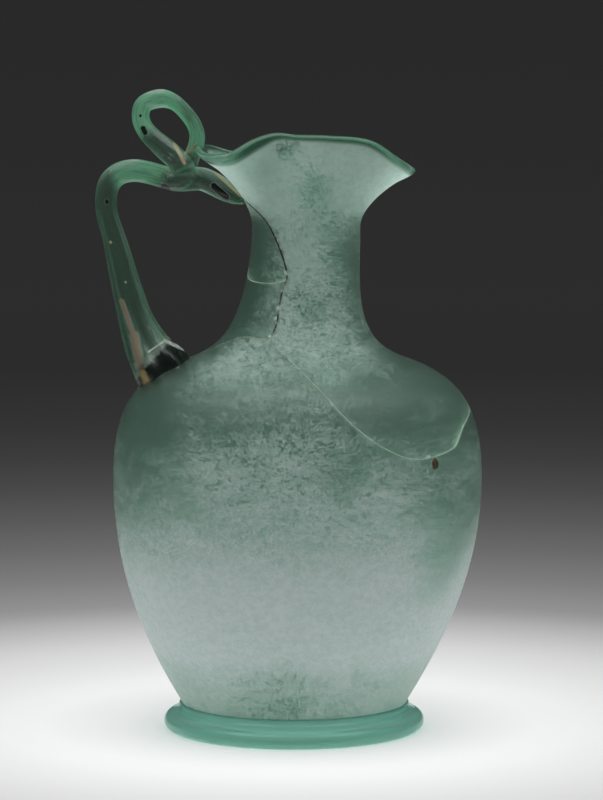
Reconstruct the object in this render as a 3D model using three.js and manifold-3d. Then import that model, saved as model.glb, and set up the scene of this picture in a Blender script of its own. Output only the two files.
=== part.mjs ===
import * as THREE from "three";
import { mergeVertices } from "three/addons/utils/BufferGeometryUtils.js";
import Module from "manifold-3d";

// A mended glass oinochoe. All sizes are millimetres, the jug stands on z = 0,
// its spout points along +X and its handle lies on the -X side.

// Driving sizes of the blown vessel
const bellyRadius = 69;
const bellyHeight = 95.5;
const heelRadius = 40.7;
const heelHeight = 8;
const heelSlope = 0.555; // radians from upright, where the wall leaves the heel
const baseRestRadius = 29; // lowest ring of the blown base
const baseRestHeight = 3.4;
const kickHeight = 16; // top of the pushed-in base, seen from below
const shoulderRadius = 42; // where the shoulder turns from round to hollow
const shoulderHeight = 139.3;
const shoulderSlope = 0.34; // radians above level
const neckRadius = 20.2;
const neckHeight = 189;
const neckLean = 3.2; // the neck was set a little towards the spout
const heelShift = 1.3; // and the foot a little towards the handle
const wallThickness = 2.3;
const lipThickness = 2.4;
const lipBead = 0.5; // how far the lip swells out of the flare
const lipThickens = 5.3; // course from which the flare takes on the lip's thickness
const beadStart = 5.75; // courses between which the bead swells out
const beadFull = 5.95;

// How far each outline curve keeps the direction of its ends, as a share of its span
const kickFlat = 0.55; // of the rest ring's radius
const kickFoot = 0.62; // of the rest ring's radius, where the kick comes down
const heelRound = 0.5;
const wallStraight = 0.32;
const bellyBelow = 0.42;
const bellyAbove = 0.61;
const shoulderBefore = 0.45;
const shoulderAfter = 0.31;
const neckStraight = 0.74;
const flareStraight = 0.35;
const flareOpen = 0.5;

// The trefoil mouth: for each turn around the neck, in degrees from the spout, the lip's
// distance from the neck's axis along X and Y, as shares of the mouth's length,
// and its height over the neck, as a share of the flare's rise.
// The near side has negative turns. The lip is pinched in at both sides.
const mouthLength = 39.6;
const flareRise = 34.5;
const lipStations = [
  [0, 1, 0, 0.58],
  [-24, 0.83, -0.26, 0.73],
  [-45, 0.58, -0.38, 0.916],
  [-68, 0.2, -0.42, 0.968],
  [-90, -0.08, -0.4, 0.98],
  [-107, -0.28, -0.41, 1],
  [-124, -0.47, -0.52, 0.933],
  [-141, -0.73, -0.63, 0.771],
  [-159, -0.94, -0.45, 0.759],
  [-180, -1.02, -0.02, 0.817],
  [-202, -0.94, 0.41, 0.8],
  [-222, -0.71, 0.57, 0.742],
  [-243, -0.37, 0.44, 0.846],
  [-268, -0.05, 0.39, 0.899],
  [-295, 0.27, 0.42, 0.881],
  [-322, 0.64, 0.38, 0.791],
  [-340, 0.88, 0.25, 0.661],
];

// Foot ring
const footRadius = 48.9;
const footEdge = 3.3; // radius of its rounded outer edge
const footFlatWidth = 8; // the flat underside that the jug rests on
const footTopHeight = 10.5; // where the ring thins out against the wall
const footEdgeArc = 150; // degrees of the rounded edge
const footSlopeOut = 0.42; // the sloping top's middle, from the wall to the edge
const footSlopeDown = 0.62;
const footInnerStep = 1.2; // the inner side stands back from the flat underside
const footInnerRise = 1; // height of the flat's inner chamfer
const footInnerTop = 3.6;

// Handle. Each station gives, as seen from the near side, how far the rod's middle lies
// outside the straight line from the claw to the lip, how high it is over the claw,
// half its thickness in that view, half its breadth across it, and its shift to the far side.
const clawHeight = 136.4;
const shaftStations = [
  [-4.3, -7.4, 10, 10, -2.5],
  [1.8, 0, 10.8, 11, -2.5],
  [5.9, 4.9, 9.4, 9, -2],
  [9.5, 9.9, 8.2, 7.4, -1.2],
  [13.9, 17.7, 6.7, 6.3, -0.5],
  [18.4, 28.2, 5.8, 5.7, 0],
  [21.4, 35.7, 5.3, 5.4, 0],
  [24.4, 43.5, 4.8, 5, 0],
  [26.9, 49.6, 4.3, 4.6, 0],
  [30.1, 56.9, 4.1, 4.4, 0],
  [31.3, 62.1, 4.1, 4.3, 0],
  [31.6, 66.1, 4.1, 4.3, 0],
  [30.7, 69.8, 4.2, 4.3, 0],
  [28.4, 72.3, 4.2, 4.3, 0],
  [25, 73.5, 4.2, 4.3, 0],
  [21.2, 73.7, 4.2, 4.3, 0],
  [16.4, 72.8, 4.2, 4.3, 0],
  [11.6, 71.5, 4.2, 4.4, 0],
  [5.7, 70.2, 4.3, 4.6, 0],
  [0.2, 70.6, 4.4, 5, 0],
  [-3.5, 70.5, 4.4, 5.6, 0],
  [-8.3, 68.5, 4.3, 6.4, 0],
  [-12.4, 66.3, 4, 7, 0],
  [-16.7, 64.2, 3.2, 6.4, 0],
  [-20.5, 62.5, 1.6, 3.6, 0],
];
const loopStations = [
  [5.3, 69.3, 3.6, 3.6, -1],
  [3, 72.4, 3.8, 3.8, -1.6],
  [4.3, 75.6, 3.8, 3.8, -2],
  [7.8, 79.1, 3.6, 3.6, -2.2],
  [12.2, 82.7, 3.6, 3.6, -2],
  [17.3, 86.3, 3.4, 3.5, -1.5],
  [21, 89.8, 3.3, 3.4, -1],
  [23, 94.2, 3.3, 3.3, -0.5],
  [22.2, 98.6, 3.3, 3.3, 0],
  [16.4, 100.6, 3.5, 3.3, 0.3],
  [11.6, 99.3, 3, 3.1, 0.6],
  [8.7, 97.3, 2.8, 3, 0.8],
  [5.6, 94.4, 2.8, 2.9, 1],
  [2.7, 90.8, 2.8, 2.9, 1.3],
  [1, 87, 2.9, 3, 1.6],
  [0.8, 83.4, 3, 3.2, 1.8],
  [1.5, 79.9, 3, 3.4, 1.8],
  [1.8, 76.3, 2.8, 3.2, 1.6],
];
const stationsRise = 81; // height from claw to lip that the stations are drawn for

// Mend lines on the vessel: turns in degrees from the spout (near side negative) and heights,
// drawn for a jug whose shoulder and neck have the two heights below.
// The first four meet at two corners, one on each side of the neck.
const drawnShoulder = 139.3;
const drawnNeck = 189;
const nearCorner = [-107, 171.5];
const farCorner = [-250, 171];
const nearFork = [-112.7, 149.7];
const farFork = [-252, 150];
const neckMend = [
  nearCorner, [-110, 176], [-120, 183.5], [-133, 191], [-151, 196.7], [-165, 199.6],
  [-180, 200.5], [-200, 199], [-215, 195], [-230, 188], [-243, 180], farCorner,
];
const ringMend = [
  nearCorner, [-116, 169.2], [-139, 169.1], [-160, 169.6], [-180, 171.5],
  [-205, 173], [-230, 172.5], farCorner,
];
const nearUprightMend = [nearCorner, [-110.5, 167], [-111, 160], [-109.6, 154], nearFork];
const farUprightMend = [farCorner, [-253, 164], [-249, 156], farFork];
const shoulderMend = [
  nearFork, [-126, 149.8], [-142, 149.2], [-152, 147.8], [-165, 145.5], [-180, 142.6],
  [-200, 143], [-225, 146.5], farFork, [-268, 147], [-284, 142.5], [-300, 137], [-316, 131.5],
  [-332, 127], [-347, 124], [-361, 122], [-369, 120.5], [-378, 118.9], [-384.4, 116],
  [-388.6, 112.8], [-391, 110.5], [-397, 109.2], [-403, 108.1], [-412, 107.9], [-417, 109.9],
  [-422, 112.7], [-427, 116.4], [-433, 122.7], [-438.4, 129.6], [-441.3, 133.5],
  [-446.5, 138.1], [-451.4, 141], [-458, 143.8], [-466, 146.4],
];

// Joints
const jointGap = 0.3; // clear space between pieces that touch in the real jug
const wallOvercut = 2; // how far a mend's cutter reaches past both faces of the wall

// Glue drop on the diagonal mend
const dropPlace = [-42.9, 106.6];
const dropWidth = 2.8;
const dropHeight = 4.4;
const dropDepth = 1.8;

// Fineness of the meshes
const segmentsAround = 48;
const rodSides = 12;
const rodStepsPerStation = 2;

const wasm = await Module();
wasm.setup();

const degrees = Math.PI / 180;
const smoothStep = (low, high, x) => THREE.MathUtils.smoothstep(x, low, high);
const point = (x, y, z) => new THREE.Vector3(x, y, z);
const flat = (x, y) => new THREE.Vector2(x, y);

// A closed solid from rings of points; each ring is a list of points around the shape.
// A first or last ring that shrinks to one point closes the shape with a fan.
// From the corner otherWay onwards, the patches are halved along their other diagonal.
function solidFromRings(rings, closedOnItself = false, otherWay = Infinity) {
  const positions = [];
  const faces = [];
  const starts = [];
  for (const ring of rings) {
    starts.push(positions.length / 3);
    for (const p of ring) positions.push(p.x, p.y, p.z);
  }
  const pairs = closedOnItself ? rings.length : rings.length - 1;
  for (let i = 0; i < pairs; i++) {
    const next = (i + 1) % rings.length;
    joinRings(faces, starts[i], rings[i].length, starts[next], rings[next].length, otherWay);
  }
  const geometry = new THREE.BufferGeometry();
  geometry.setAttribute("position", new THREE.Float32BufferAttribute(positions, 3));
  geometry.setIndex(faces);
  return solidOf(geometry);
}

function joinRings(faces, a, countA, b, countB, otherWay) {
  const count = Math.max(countA, countB);
  for (let k = 0; k < count; k++) {
    const next = (k + 1) % count;
    const a0 = a + (k % countA);
    const a1 = a + (next % countA);
    const b0 = b + (k % countB);
    const b1 = b + (next % countB);
    const turned = k >= otherWay;
    if (a0 !== a1) faces.push(a0, a1, turned ? b0 : b1);
    if (b0 !== b1) faces.push(turned ? a1 : a0, b1, b0);
  }
}

function solidOf(geometry) {
  geometry.deleteAttribute("normal");
  geometry.deleteAttribute("uv");
  const merged = mergeVertices(geometry, 1e-4);
  return new wasm.Manifold(new wasm.Mesh({
    numProp: 3,
    vertProperties: merged.attributes.position.array,
    triVerts: new Uint32Array(merged.index.array),
  }));
}

function meshOf(name, solid, color, roughness) {
  const made = solid.getMesh();
  const geometry = new THREE.BufferGeometry();
  geometry.setAttribute("position", new THREE.BufferAttribute(made.vertProperties, 3));
  geometry.setIndex(new THREE.BufferAttribute(made.triVerts, 1));
  geometry.computeVertexNormals();
  const material = new THREE.MeshStandardMaterial({ color, roughness });
  const mesh = new THREE.Mesh(geometry, material);
  mesh.name = name;
  return mesh;
}

function largestPiece(solid) {
  const pieces = solid.decompose();
  pieces.sort((a, b) => b.volume() - a.volume());
  return pieces[0];
}

// Outline of the blown vessel from the middle of its base to the top of the neck
function vesselOutline() {
  const heelDirection = flat(Math.sin(heelSlope), Math.cos(heelSlope));
  const shoulderDirection = flat(-Math.cos(shoulderSlope), Math.sin(shoulderSlope));
  const base = flat(baseRestRadius, baseRestHeight);
  const heel = flat(heelRadius, heelHeight);
  const belly = flat(bellyRadius, bellyHeight);
  const shoulder = flat(shoulderRadius, shoulderHeight);
  const neck = flat(neckRadius, neckHeight);
  const bellyUp = bellyHeight - heelHeight;
  const shoulderUp = shoulderHeight - bellyHeight;
  const neckUp = neckHeight - shoulderHeight;
  const along = (from, direction, distance) => from.clone().addScaledVector(direction, distance);
  const curve = new THREE.CurvePath();
  const kickTop = flat(0, kickHeight);
  curve.add(new THREE.CubicBezierCurve(
    kickTop,
    flat(kickFlat * baseRestRadius, kickHeight),
    flat(kickFoot * baseRestRadius, baseRestHeight),
    base,
  ));
  curve.add(new THREE.CubicBezierCurve(
    base,
    flat(THREE.MathUtils.lerp(baseRestRadius, heelRadius, heelRound), baseRestHeight),
    along(heel, heelDirection, -heelRound * (heelHeight - baseRestHeight)),
    heel,
  ));
  curve.add(new THREE.CubicBezierCurve(
    heel,
    along(heel, heelDirection, wallStraight * bellyUp),
    flat(bellyRadius, bellyHeight - bellyBelow * bellyUp),
    belly,
  ));
  curve.add(new THREE.CubicBezierCurve(
    belly,
    flat(bellyRadius, bellyHeight + bellyAbove * shoulderUp),
    along(shoulder, shoulderDirection, -shoulderBefore * shoulderUp),
    shoulder,
  ));
  curve.add(new THREE.CubicBezierCurve(
    shoulder,
    along(shoulder, shoulderDirection, shoulderAfter * neckUp),
    flat(neckRadius, neckHeight - neckStraight * neckUp),
    neck,
  ));
  return curve;
}

const outlineCurves = vesselOutline().curves;

// A closed smooth curve through the lip's stations, by turn around the neck
function lipAt(turn) {
  const count = lipStations.length;
  const start = lipStations[0][0];
  let angle = (turn - start) % 360;
  if (angle > 0) angle -= 360;
  const turnOf = (i) => lipStations[((i % count) + count) % count][0] - 360 * Math.floor(i / count);
  let i = 0;
  while (turnOf(i + 1) > start + angle) i++;
  const t = (turnOf(i) - (start + angle)) / (turnOf(i) - turnOf(i + 1));
  const value = (column) => {
    const at = (j) => lipStations[((j % count) + count) % count][column];
    const slope = (j) => (at(j + 1) - at(j - 1)) / (turnOf(j + 1) - turnOf(j - 1));
    const span = turnOf(i + 1) - turnOf(i);
    const t2 = t * t;
    const t3 = t2 * t;
    return (2 * t3 - 3 * t2 + 1) * at(i) + (t3 - 2 * t2 + t) * span * slope(i)
      + (3 * t2 - 2 * t3) * at(i + 1) + (t3 - t2) * span * slope(i + 1);
  };
  return point(mouthLength * value(1), mouthLength * value(2), neckHeight + flareRise * value(3));
}

function leanAt(height) {
  const upper = neckLean * smoothStep(shoulderHeight, neckHeight, height);
  const lower = heelShift * (1 - smoothStep(heelHeight, bellyHeight, height));
  return upper - lower;
}

// The vessel's outer face: course runs 0 to 5 along the outline and 5 to 6 up the flare
const lipCourse = outlineCurves.length + 1;
function outerFace(turn, course) {
  const angle = turn * degrees;
  const side = point(Math.cos(angle), Math.sin(angle), 0);
  if (course <= outlineCurves.length) {
    const index = Math.min(Math.floor(course), outlineCurves.length - 1);
    const p = outlineCurves[index].getPoint(course - index);
    return point(leanAt(p.y) + p.x * side.x, p.x * side.y, p.y);
  }
  const t = course - outlineCurves.length;
  const lip = lipAt(turn);
  const rise = lip.z - neckHeight;
  const from = side.clone().multiplyScalar(neckRadius).setZ(neckHeight);
  const curve = new THREE.CubicBezierCurve3(
    from,
    from.clone().add(point(0, 0, flareStraight * rise)),
    from.clone().add(point(0, 0, 0.5 * rise)).lerp(lip, flareOpen),
    lip,
  );
  const p = curve.getPoint(Math.min(t, 1));
  return p.add(point(neckLean, 0, 0));
}

// The way square to the outer face, found from four places close by
function outwardAt(turn, course) {
  const step = 0.02;
  const baseMiddle = 0.05; // so close to the middle of the base, the wall is level
  if (course < baseMiddle) return point(0, 0, -1);
  const before = outerFace(turn, course - step);
  const after = outerFace(turn, Math.min(course + step, lipCourse));
  const around = outerFace(turn + 1, course).sub(outerFace(turn - 1, course));
  return around.cross(after.sub(before)).normalize();
}

function thicknessAt(course) {
  const share = smoothStep(lipThickens, lipCourse, course);
  return THREE.MathUtils.lerp(wallThickness, lipThickness, share);
}

// The vessel as a closed shell; grow makes it thicker on both faces, for cutting neighbours
function vesselSolid(grow = 0) {
  const courses = [];
  const perCurve = [5, 2, 7, 8, 8, 7]; // rings on each outline curve and on the flare
  perCurve.forEach((count, index) => {
    for (let k = 0; k < count; k++) courses.push(index + k / count);
  });
  courses.push(lipCourse);
  const ringAt = (course, depth) => {
    if (course === 0) return [outerFace(0, 0).add(point(0, 0, depth))];
    return turns().map((turn) => {
      const outward = outwardAt(turn, course);
      return outerFace(turn, course).addScaledVector(outward, -depth);
    });
  };
  const rings = courses.map((course) => ringAt(course, -grow - beadAt(course)));
  rings.push(...lipRings(grow));
  for (const course of [...courses].reverse()) {
    rings.push(ringAt(course, thicknessAt(course) + grow));
  }
  return solidFromRings(rings);
}

function beadAt(course) {
  return lipBead * smoothStep(beadStart, beadFull, course);
}

function turns() {
  return Array.from({ length: segmentsAround }, (_, k) => (360 * k) / segmentsAround);
}

// The rounded edge of the lip, as rings between the outer and the inner face
function lipRings(grow) {
  const steps = 4;
  const radius = 0.5 * (lipThickness + lipBead) + grow;
  const rings = [];
  const below = lipCourse - 0.05;
  for (let k = 1; k < steps; k++) {
    const angle = (Math.PI * k) / steps;
    rings.push(turns().map((turn) => {
      const outward = outwardAt(turn, lipCourse);
      const up = outerFace(turn, lipCourse).sub(outerFace(turn, below)).normalize();
      const middle = 0.5 * (lipBead - lipThickness);
      const centre = outerFace(turn, lipCourse).addScaledVector(outward, middle);
      return centre
        .addScaledVector(outward, radius * Math.cos(angle))
        .addScaledVector(up, radius * Math.sin(angle));
    }));
  }
  return rings;
}

// The course of the outer face at a height, on the wall above the heel
function courseAt(turn, height) {
  const halvings = 30;
  let low = 1;
  let high = lipCourse;
  for (let i = 0; i < halvings; i++) {
    const middle = 0.5 * (low + high);
    if (outerFace(turn, middle).z < height) low = middle;
    else high = middle;
  }
  return 0.5 * (low + high);
}

// Where a height of the mend lines lies on this jug
function mendHeight(height) {
  if (height < drawnShoulder) return (height * shoulderHeight) / drawnShoulder;
  const share = (height - drawnShoulder) / (drawnNeck - drawnShoulder);
  return THREE.MathUtils.lerp(shoulderHeight, neckHeight, share);
}

// The mend line with steps short enough for the wall's curve
function shortSteps(line, closed) {
  const longestTurn = 7;
  const finer = [];
  const legs = closed ? line.length : line.length - 1;
  for (let i = 0; i < legs; i++) {
    const [turn, height] = line[i];
    const [next, nextHeight] = i + 1 < line.length ? line[i + 1] : [line[0][0] - 360, line[0][1]];
    const count = Math.ceil(Math.abs(next - turn) / longestTurn);
    for (let k = 0; k < Math.max(count, 1); k++) {
      const share = k / Math.max(count, 1);
      finer.push([
        THREE.MathUtils.lerp(turn, next, share),
        THREE.MathUtils.lerp(height, nextHeight, share),
      ]);
    }
  }
  if (!closed) finer.push(line[line.length - 1]);
  return finer;
}

// A thin ribbon standing through the wall along a mend line
function mendCutter(line, closed = false) {
  const places = shortSteps(line, closed).map(([turn, height]) => {
    const course = courseAt(turn, mendHeight(height));
    return { at: outerFace(turn, course), outward: outwardAt(turn, course) };
  });
  const count = places.length;
  const deep = wallThickness + wallOvercut;
  const rings = places.map(({ at, outward }, i) => {
    const before = closed ? places[(i + count - 1) % count] : places[Math.max(i - 1, 0)];
    const after = closed ? places[(i + 1) % count] : places[Math.min(i + 1, count - 1)];
    const into = at.clone().sub(before.at).normalize();
    const out = after.at.clone().sub(at).normalize();
    const forward = into.add(out).normalize();
    const aside = outward.clone().cross(forward).normalize();
    const isStart = !closed && i === 0;
    const isEnd = !closed && i === count - 1;
    const centre = at.clone();
    if (isStart) centre.addScaledVector(forward, -jointGap);
    if (isEnd) centre.addScaledVector(forward, jointGap);
    const corner = (depth, side) => centre.clone()
      .addScaledVector(outward, -depth)
      .addScaledVector(aside, 0.5 * side * jointGap);
    return [corner(-wallOvercut, -1), corner(deep, -1), corner(deep, 1), corner(-wallOvercut, 1)];
  });
  if (!closed) {
    rings.unshift([middleOf(rings[0])]);
    rings.push([middleOf(rings[rings.length - 1])]);
  }
  return outwardFacing(solidFromRings(rings, closed, 2));
}

function middleOf(ring) {
  const sum = point(0, 0, 0);
  for (const p of ring) sum.add(p);
  return sum.divideScalar(ring.length);
}

function outwardFacing(solid) {
  if (solid.volume() > 0) return solid;
  throw new Error("a cutter is inside out");
}

// The vessel's fragments, parted along the mend lines
function vesselFragments() {
  let vessel = vesselSolid();
  for (const line of [neckMend, ringMend, nearUprightMend, farUprightMend]) {
    vessel = vessel.subtract(mendCutter(line));
  }
  vessel = vessel.subtract(mendCutter(shoulderMend, true));
  const fragments = vessel.decompose();
  fragments.sort((a, b) => b.volume() - a.volume());
  return fragments;
}

// Foot ring: its section closes on itself and reaches into the wall, which then trims it
function footRing(vesselGrown) {
  const edgeCentre = flat(footRadius - footEdge, footEdge);
  const section = [];
  section.push(flat(edgeCentre.x - footFlatWidth, 0));
  const edgeSteps = 6;
  for (let k = 0; k <= edgeSteps; k++) {
    const angle = (-90 + (footEdgeArc * k) / edgeSteps) * degrees;
    section.push(flat(
      edgeCentre.x + footEdge * Math.cos(angle),
      edgeCentre.y + footEdge * Math.sin(angle),
    ));
  }
  const shift = leanAt(0);
  const wall = outerFace(0, courseAt(0, footTopHeight)).x - shift;
  const lastEdge = section[section.length - 1];
  section.push(flat(
    THREE.MathUtils.lerp(wall, lastEdge.x, footSlopeOut),
    THREE.MathUtils.lerp(footTopHeight, lastEdge.y, footSlopeDown),
  ));
  section.push(flat(wall + 2 * jointGap, footTopHeight));
  section.push(flat(wall - 0.5 * wallThickness, footTopHeight));
  const heelCourses = [1.8, 1.45]; // two places inside the wall round the heel
  for (const course of heelCourses) {
    const inWall = outerFace(0, course).addScaledVector(outwardAt(0, course), -0.5 * wallThickness);
    section.push(flat(inWall.x - shift, inWall.z));
  }
  const innerSide = edgeCentre.x - footFlatWidth - footInnerStep;
  section.push(flat(innerSide, footInnerTop));
  section.push(flat(innerSide, footInnerRise));
  const rings = section.map((p) => turns().map((turn) => (
    point(shift + p.x * Math.cos(turn * degrees), p.x * Math.sin(turn * degrees), p.y)
  )));
  return largestPiece(solidFromRings(rings, true).subtract(vesselGrown));
}

// A rod along its stations, each ring set square to the rod's own direction
function rodSolid(stations, claw, lip) {
  const risen = (lip.z - claw.z) / stationsRise;
  const middles = stations.map(([outward, up, , , farther]) => {
    const share = up / stationsRise;
    return point(
      THREE.MathUtils.lerp(claw.x, lip.x, share) - outward,
      farther,
      claw.z + up * risen,
    );
  });
  const curve = new THREE.CatmullRomCurve3(middles);
  const last = stations.length - 1;
  const steps = last * rodStepsPerStation;
  const rings = [];
  for (let k = 0; k <= steps; k++) {
    const share = k / steps;
    const along = curve.getTangent(share);
    const across = point(0, 1, 0).addScaledVector(along, -along.y).normalize();
    const inView = along.clone().cross(across).normalize();
    const index = Math.min(Math.floor(share * last), last - 1);
    const between = share * last - index;
    const sizeOf = (column) => (
      THREE.MathUtils.lerp(stations[index][column], stations[index + 1][column], between)
    );
    rings.push(Array.from({ length: rodSides }, (_, side) => {
      const angle = (-2 * Math.PI * side) / rodSides;
      return curve.getPoint(share)
        .addScaledVector(inView, sizeOf(2) * Math.cos(angle))
        .addScaledVector(across, sizeOf(3) * Math.sin(angle));
    }));
  }
  rings.unshift([middleOf(rings[0])]);
  rings.push([middleOf(rings[rings.length - 1])]);
  return outwardFacing(solidFromRings(rings));
}

function handleSolid(vesselGrown) {
  const claw = outerFace(180, courseAt(180, clawHeight));
  const lip = outerFace(180, lipCourse);
  const shaft = rodSolid(shaftStations, claw, lip);
  const loop = rodSolid(loopStations, claw, lip);
  return largestPiece(shaft.add(loop).subtract(vesselGrown));
}

// A dried drop of glue lying on the wall
function glueDrop(vesselGrown) {
  const [turn, height] = dropPlace;
  const course = courseAt(turn, mendHeight(height));
  const centre = outerFace(turn, course);
  const outward = outwardAt(turn, course);
  const geometry = new THREE.SphereGeometry(1, 10, 6);
  geometry.scale(0.5 * dropWidth, 0.5 * dropHeight, dropDepth);
  geometry.lookAt(outward);
  geometry.translate(centre.x, centre.y, centre.z);
  return largestPiece(solidOf(geometry).subtract(vesselGrown));
}

const vesselGrown = vesselSolid(jointGap);
const [body, mouth, ...shards] = vesselFragments();
shards.sort((a, b) => b.boundingBox().max[2] - a.boundingBox().max[2]);

const jug = new THREE.Group();
jug.add(meshOf("body", body, 0x9cc4b8, 0.5));
jug.add(meshOf("mouth_and_spout", mouth, 0x94c0b2, 0.5));
jug.add(meshOf("neck_upper_shard", shards[0], 0x86b3a2, 0.5));
jug.add(meshOf("neck_lower_shard", shards[1], 0x7dab99, 0.5));
jug.add(meshOf("foot_ring", footRing(vesselGrown), 0x5f9d8a, 0.2));
jug.add(meshOf("handle", handleSolid(vesselGrown), 0x2f6b52, 0.1));
jug.add(meshOf("glue_drop", glueDrop(vesselGrown), 0x5a3a20, 0.4));

// The part's frame: the middle of the whole jug's box, at table level
const box = new THREE.Box3().setFromObject(jug);
const middle = box.getCenter(point(0, 0, 0));
jug.position.set(-middle.x, -middle.y, -box.min.z);

export default jug;
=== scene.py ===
import math

import bmesh
import bpy
import numpy as np
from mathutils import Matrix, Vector, geometry
from mathutils.bvhtree import BVHTree
from mathutils.kdtree import KDTree


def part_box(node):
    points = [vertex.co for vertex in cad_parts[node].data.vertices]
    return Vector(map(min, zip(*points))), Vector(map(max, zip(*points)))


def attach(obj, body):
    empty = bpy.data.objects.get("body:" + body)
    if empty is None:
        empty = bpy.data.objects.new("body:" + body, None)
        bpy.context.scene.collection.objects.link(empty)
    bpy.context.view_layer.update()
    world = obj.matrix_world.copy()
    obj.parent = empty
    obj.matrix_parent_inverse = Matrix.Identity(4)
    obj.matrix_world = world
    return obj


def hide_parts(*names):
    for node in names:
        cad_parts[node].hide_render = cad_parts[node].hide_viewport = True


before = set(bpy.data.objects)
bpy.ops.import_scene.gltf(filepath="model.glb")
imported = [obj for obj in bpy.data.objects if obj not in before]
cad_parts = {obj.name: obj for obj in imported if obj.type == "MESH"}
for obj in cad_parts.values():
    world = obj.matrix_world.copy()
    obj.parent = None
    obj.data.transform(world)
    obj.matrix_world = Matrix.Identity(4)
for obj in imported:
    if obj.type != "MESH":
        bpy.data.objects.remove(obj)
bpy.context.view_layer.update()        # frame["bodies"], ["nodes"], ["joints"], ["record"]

# A mended Roman glass jug. Its sizes are in millimetres, with the spout towards +X,
# and toFrame puts them into the part's own frame, in metres.

metre = 0.001
bodyLow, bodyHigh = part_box("body")
frameShift = 0.5 * (bodyLow[0] + bodyHigh[0])  # the belly is centred on the jug's own axis


def toFrame(points):
    return np.asarray(points, float) * metre + np.array([frameShift, 0.0, 0.0])


# Shapes shared by all the blown pieces

vessel = {
    "bellyRadius": 69.0,
    "bellyHeight": 95.5,
    "heelRadius": 40.7,
    "heelHeight": 8.0,
    "heelSlope": 0.555,
    "restRadius": 29.0,
    "restHeight": 3.4,
    "kickHeight": 16.0,
    "shoulderRadius": 42.0,
    "shoulderHeight": 139.3,
    "shoulderSlope": 0.34,
    "neckRadius": 20.2,
    "neckHeight": 189.0,
    "neckLean": 3.2,
    "heelShift": 1.3,
    "wall": 2.3,
    "lip": 2.4,
    "lipThickens": 5.3,  # course from which the flare takes on the lip's thickness
    "lipBead": 0.5,
    "beadCourses": (5.75, 5.95),  # between which the bead swells out
    "mouthLength": 39.6,
    "flareRise": 34.5,
    "mendGap": 0.06,  # half the width of a glued joint
    "turnStep": 1.5,  # degrees between the mesh's upright rows
    "rows": [10, 5, 48, 40, 44, 34],  # rings on each outline curve and on the flare
    "lipSteps": 8,
    # How far each outline curve keeps the direction of its ends, as a share of its span
    "kickFlat": 0.55,
    "kickFoot": 0.62,
    "heelRound": 0.5,
    "heelAbove": 0.32,
    "bellyBelow": 0.42,
    "bellyAbove": 0.61,
    "shoulderBelow": 0.45,
    "shoulderAbove": 0.31,
    "neckBelow": 0.74,
    "flareStraight": 0.35,
    "flareHalf": 0.5,
}

# For each turn around the neck: the lip's place along X and Y and its rise, as shares
lipStations = [
    [0, 1, 0, 0.58],
    [-24, 0.83, -0.26, 0.73],
    [-45, 0.58, -0.38, 0.916],
    [-68, 0.2, -0.42, 0.968],
    [-90, -0.08, -0.4, 0.98],
    [-107, -0.28, -0.41, 1],
    [-124, -0.47, -0.52, 0.933],
    [-141, -0.73, -0.63, 0.771],
    [-159, -0.94, -0.45, 0.759],
    [-180, -1.02, -0.02, 0.817],
    [-202, -0.94, 0.41, 0.8],
    [-222, -0.71, 0.57, 0.742],
    [-243, -0.37, 0.44, 0.846],
    [-268, -0.05, 0.39, 0.899],
    [-295, 0.27, 0.42, 0.881],
    [-322, 0.64, 0.38, 0.791],
    [-340, 0.88, 0.25, 0.661],
]


def smoothStep(low, high, value):
    share = np.clip((np.asarray(value, float) - low) / (high - low), 0, 1)
    return share * share * (3 - 2 * share)


def bezier(corners, share):
    t = np.asarray(share, float)[..., None]
    u = 1 - t
    a, b, c, d = (np.asarray(corner, float) for corner in corners)
    return u**3 * a + 3 * u * u * t * b + 3 * u * t * t * c + t**3 * d


def unit(vectors):
    length = np.linalg.norm(vectors, axis=-1, keepdims=True)
    return vectors / np.maximum(length, 1e-9)


def vesselOutline():
    v = vessel
    heelWay = np.array([math.sin(v["heelSlope"]), math.cos(v["heelSlope"])])
    shoulderWay = np.array([-math.cos(v["shoulderSlope"]), math.sin(v["shoulderSlope"])])
    kick = np.array([0.0, v["kickHeight"]])
    rest = np.array([v["restRadius"], v["restHeight"]])
    heel = np.array([v["heelRadius"], v["heelHeight"]])
    belly = np.array([v["bellyRadius"], v["bellyHeight"]])
    shoulder = np.array([v["shoulderRadius"], v["shoulderHeight"]])
    neck = np.array([v["neckRadius"], v["neckHeight"]])
    up = np.array([0.0, 1.0])
    heelUp = heel[1] - rest[1]
    bellyUp = belly[1] - heel[1]
    shoulderUp = shoulder[1] - belly[1]
    neckUp = neck[1] - shoulder[1]
    underHeel = (0.5 * (rest[0] + heel[0]), rest[1])
    underShoulder = shoulder - shoulderWay * v["shoulderBelow"] * shoulderUp
    overShoulder = shoulder + shoulderWay * v["shoulderAbove"] * neckUp
    return [
        (kick, (v["kickFlat"] * rest[0], kick[1]), (v["kickFoot"] * rest[0], rest[1]), rest),
        (rest, underHeel, heel - heelWay * v["heelRound"] * heelUp, heel),
        (heel, heel + heelWay * v["heelAbove"] * bellyUp, belly - up * v["bellyBelow"] * bellyUp, belly),
        (belly, belly + up * v["bellyAbove"] * shoulderUp, underShoulder, shoulder),
        (shoulder, overShoulder, neck - up * v["neckBelow"] * neckUp, neck),
    ]


outline = vesselOutline()
flareCourse = len(outline)
lipCourse = flareCourse + 1


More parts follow.
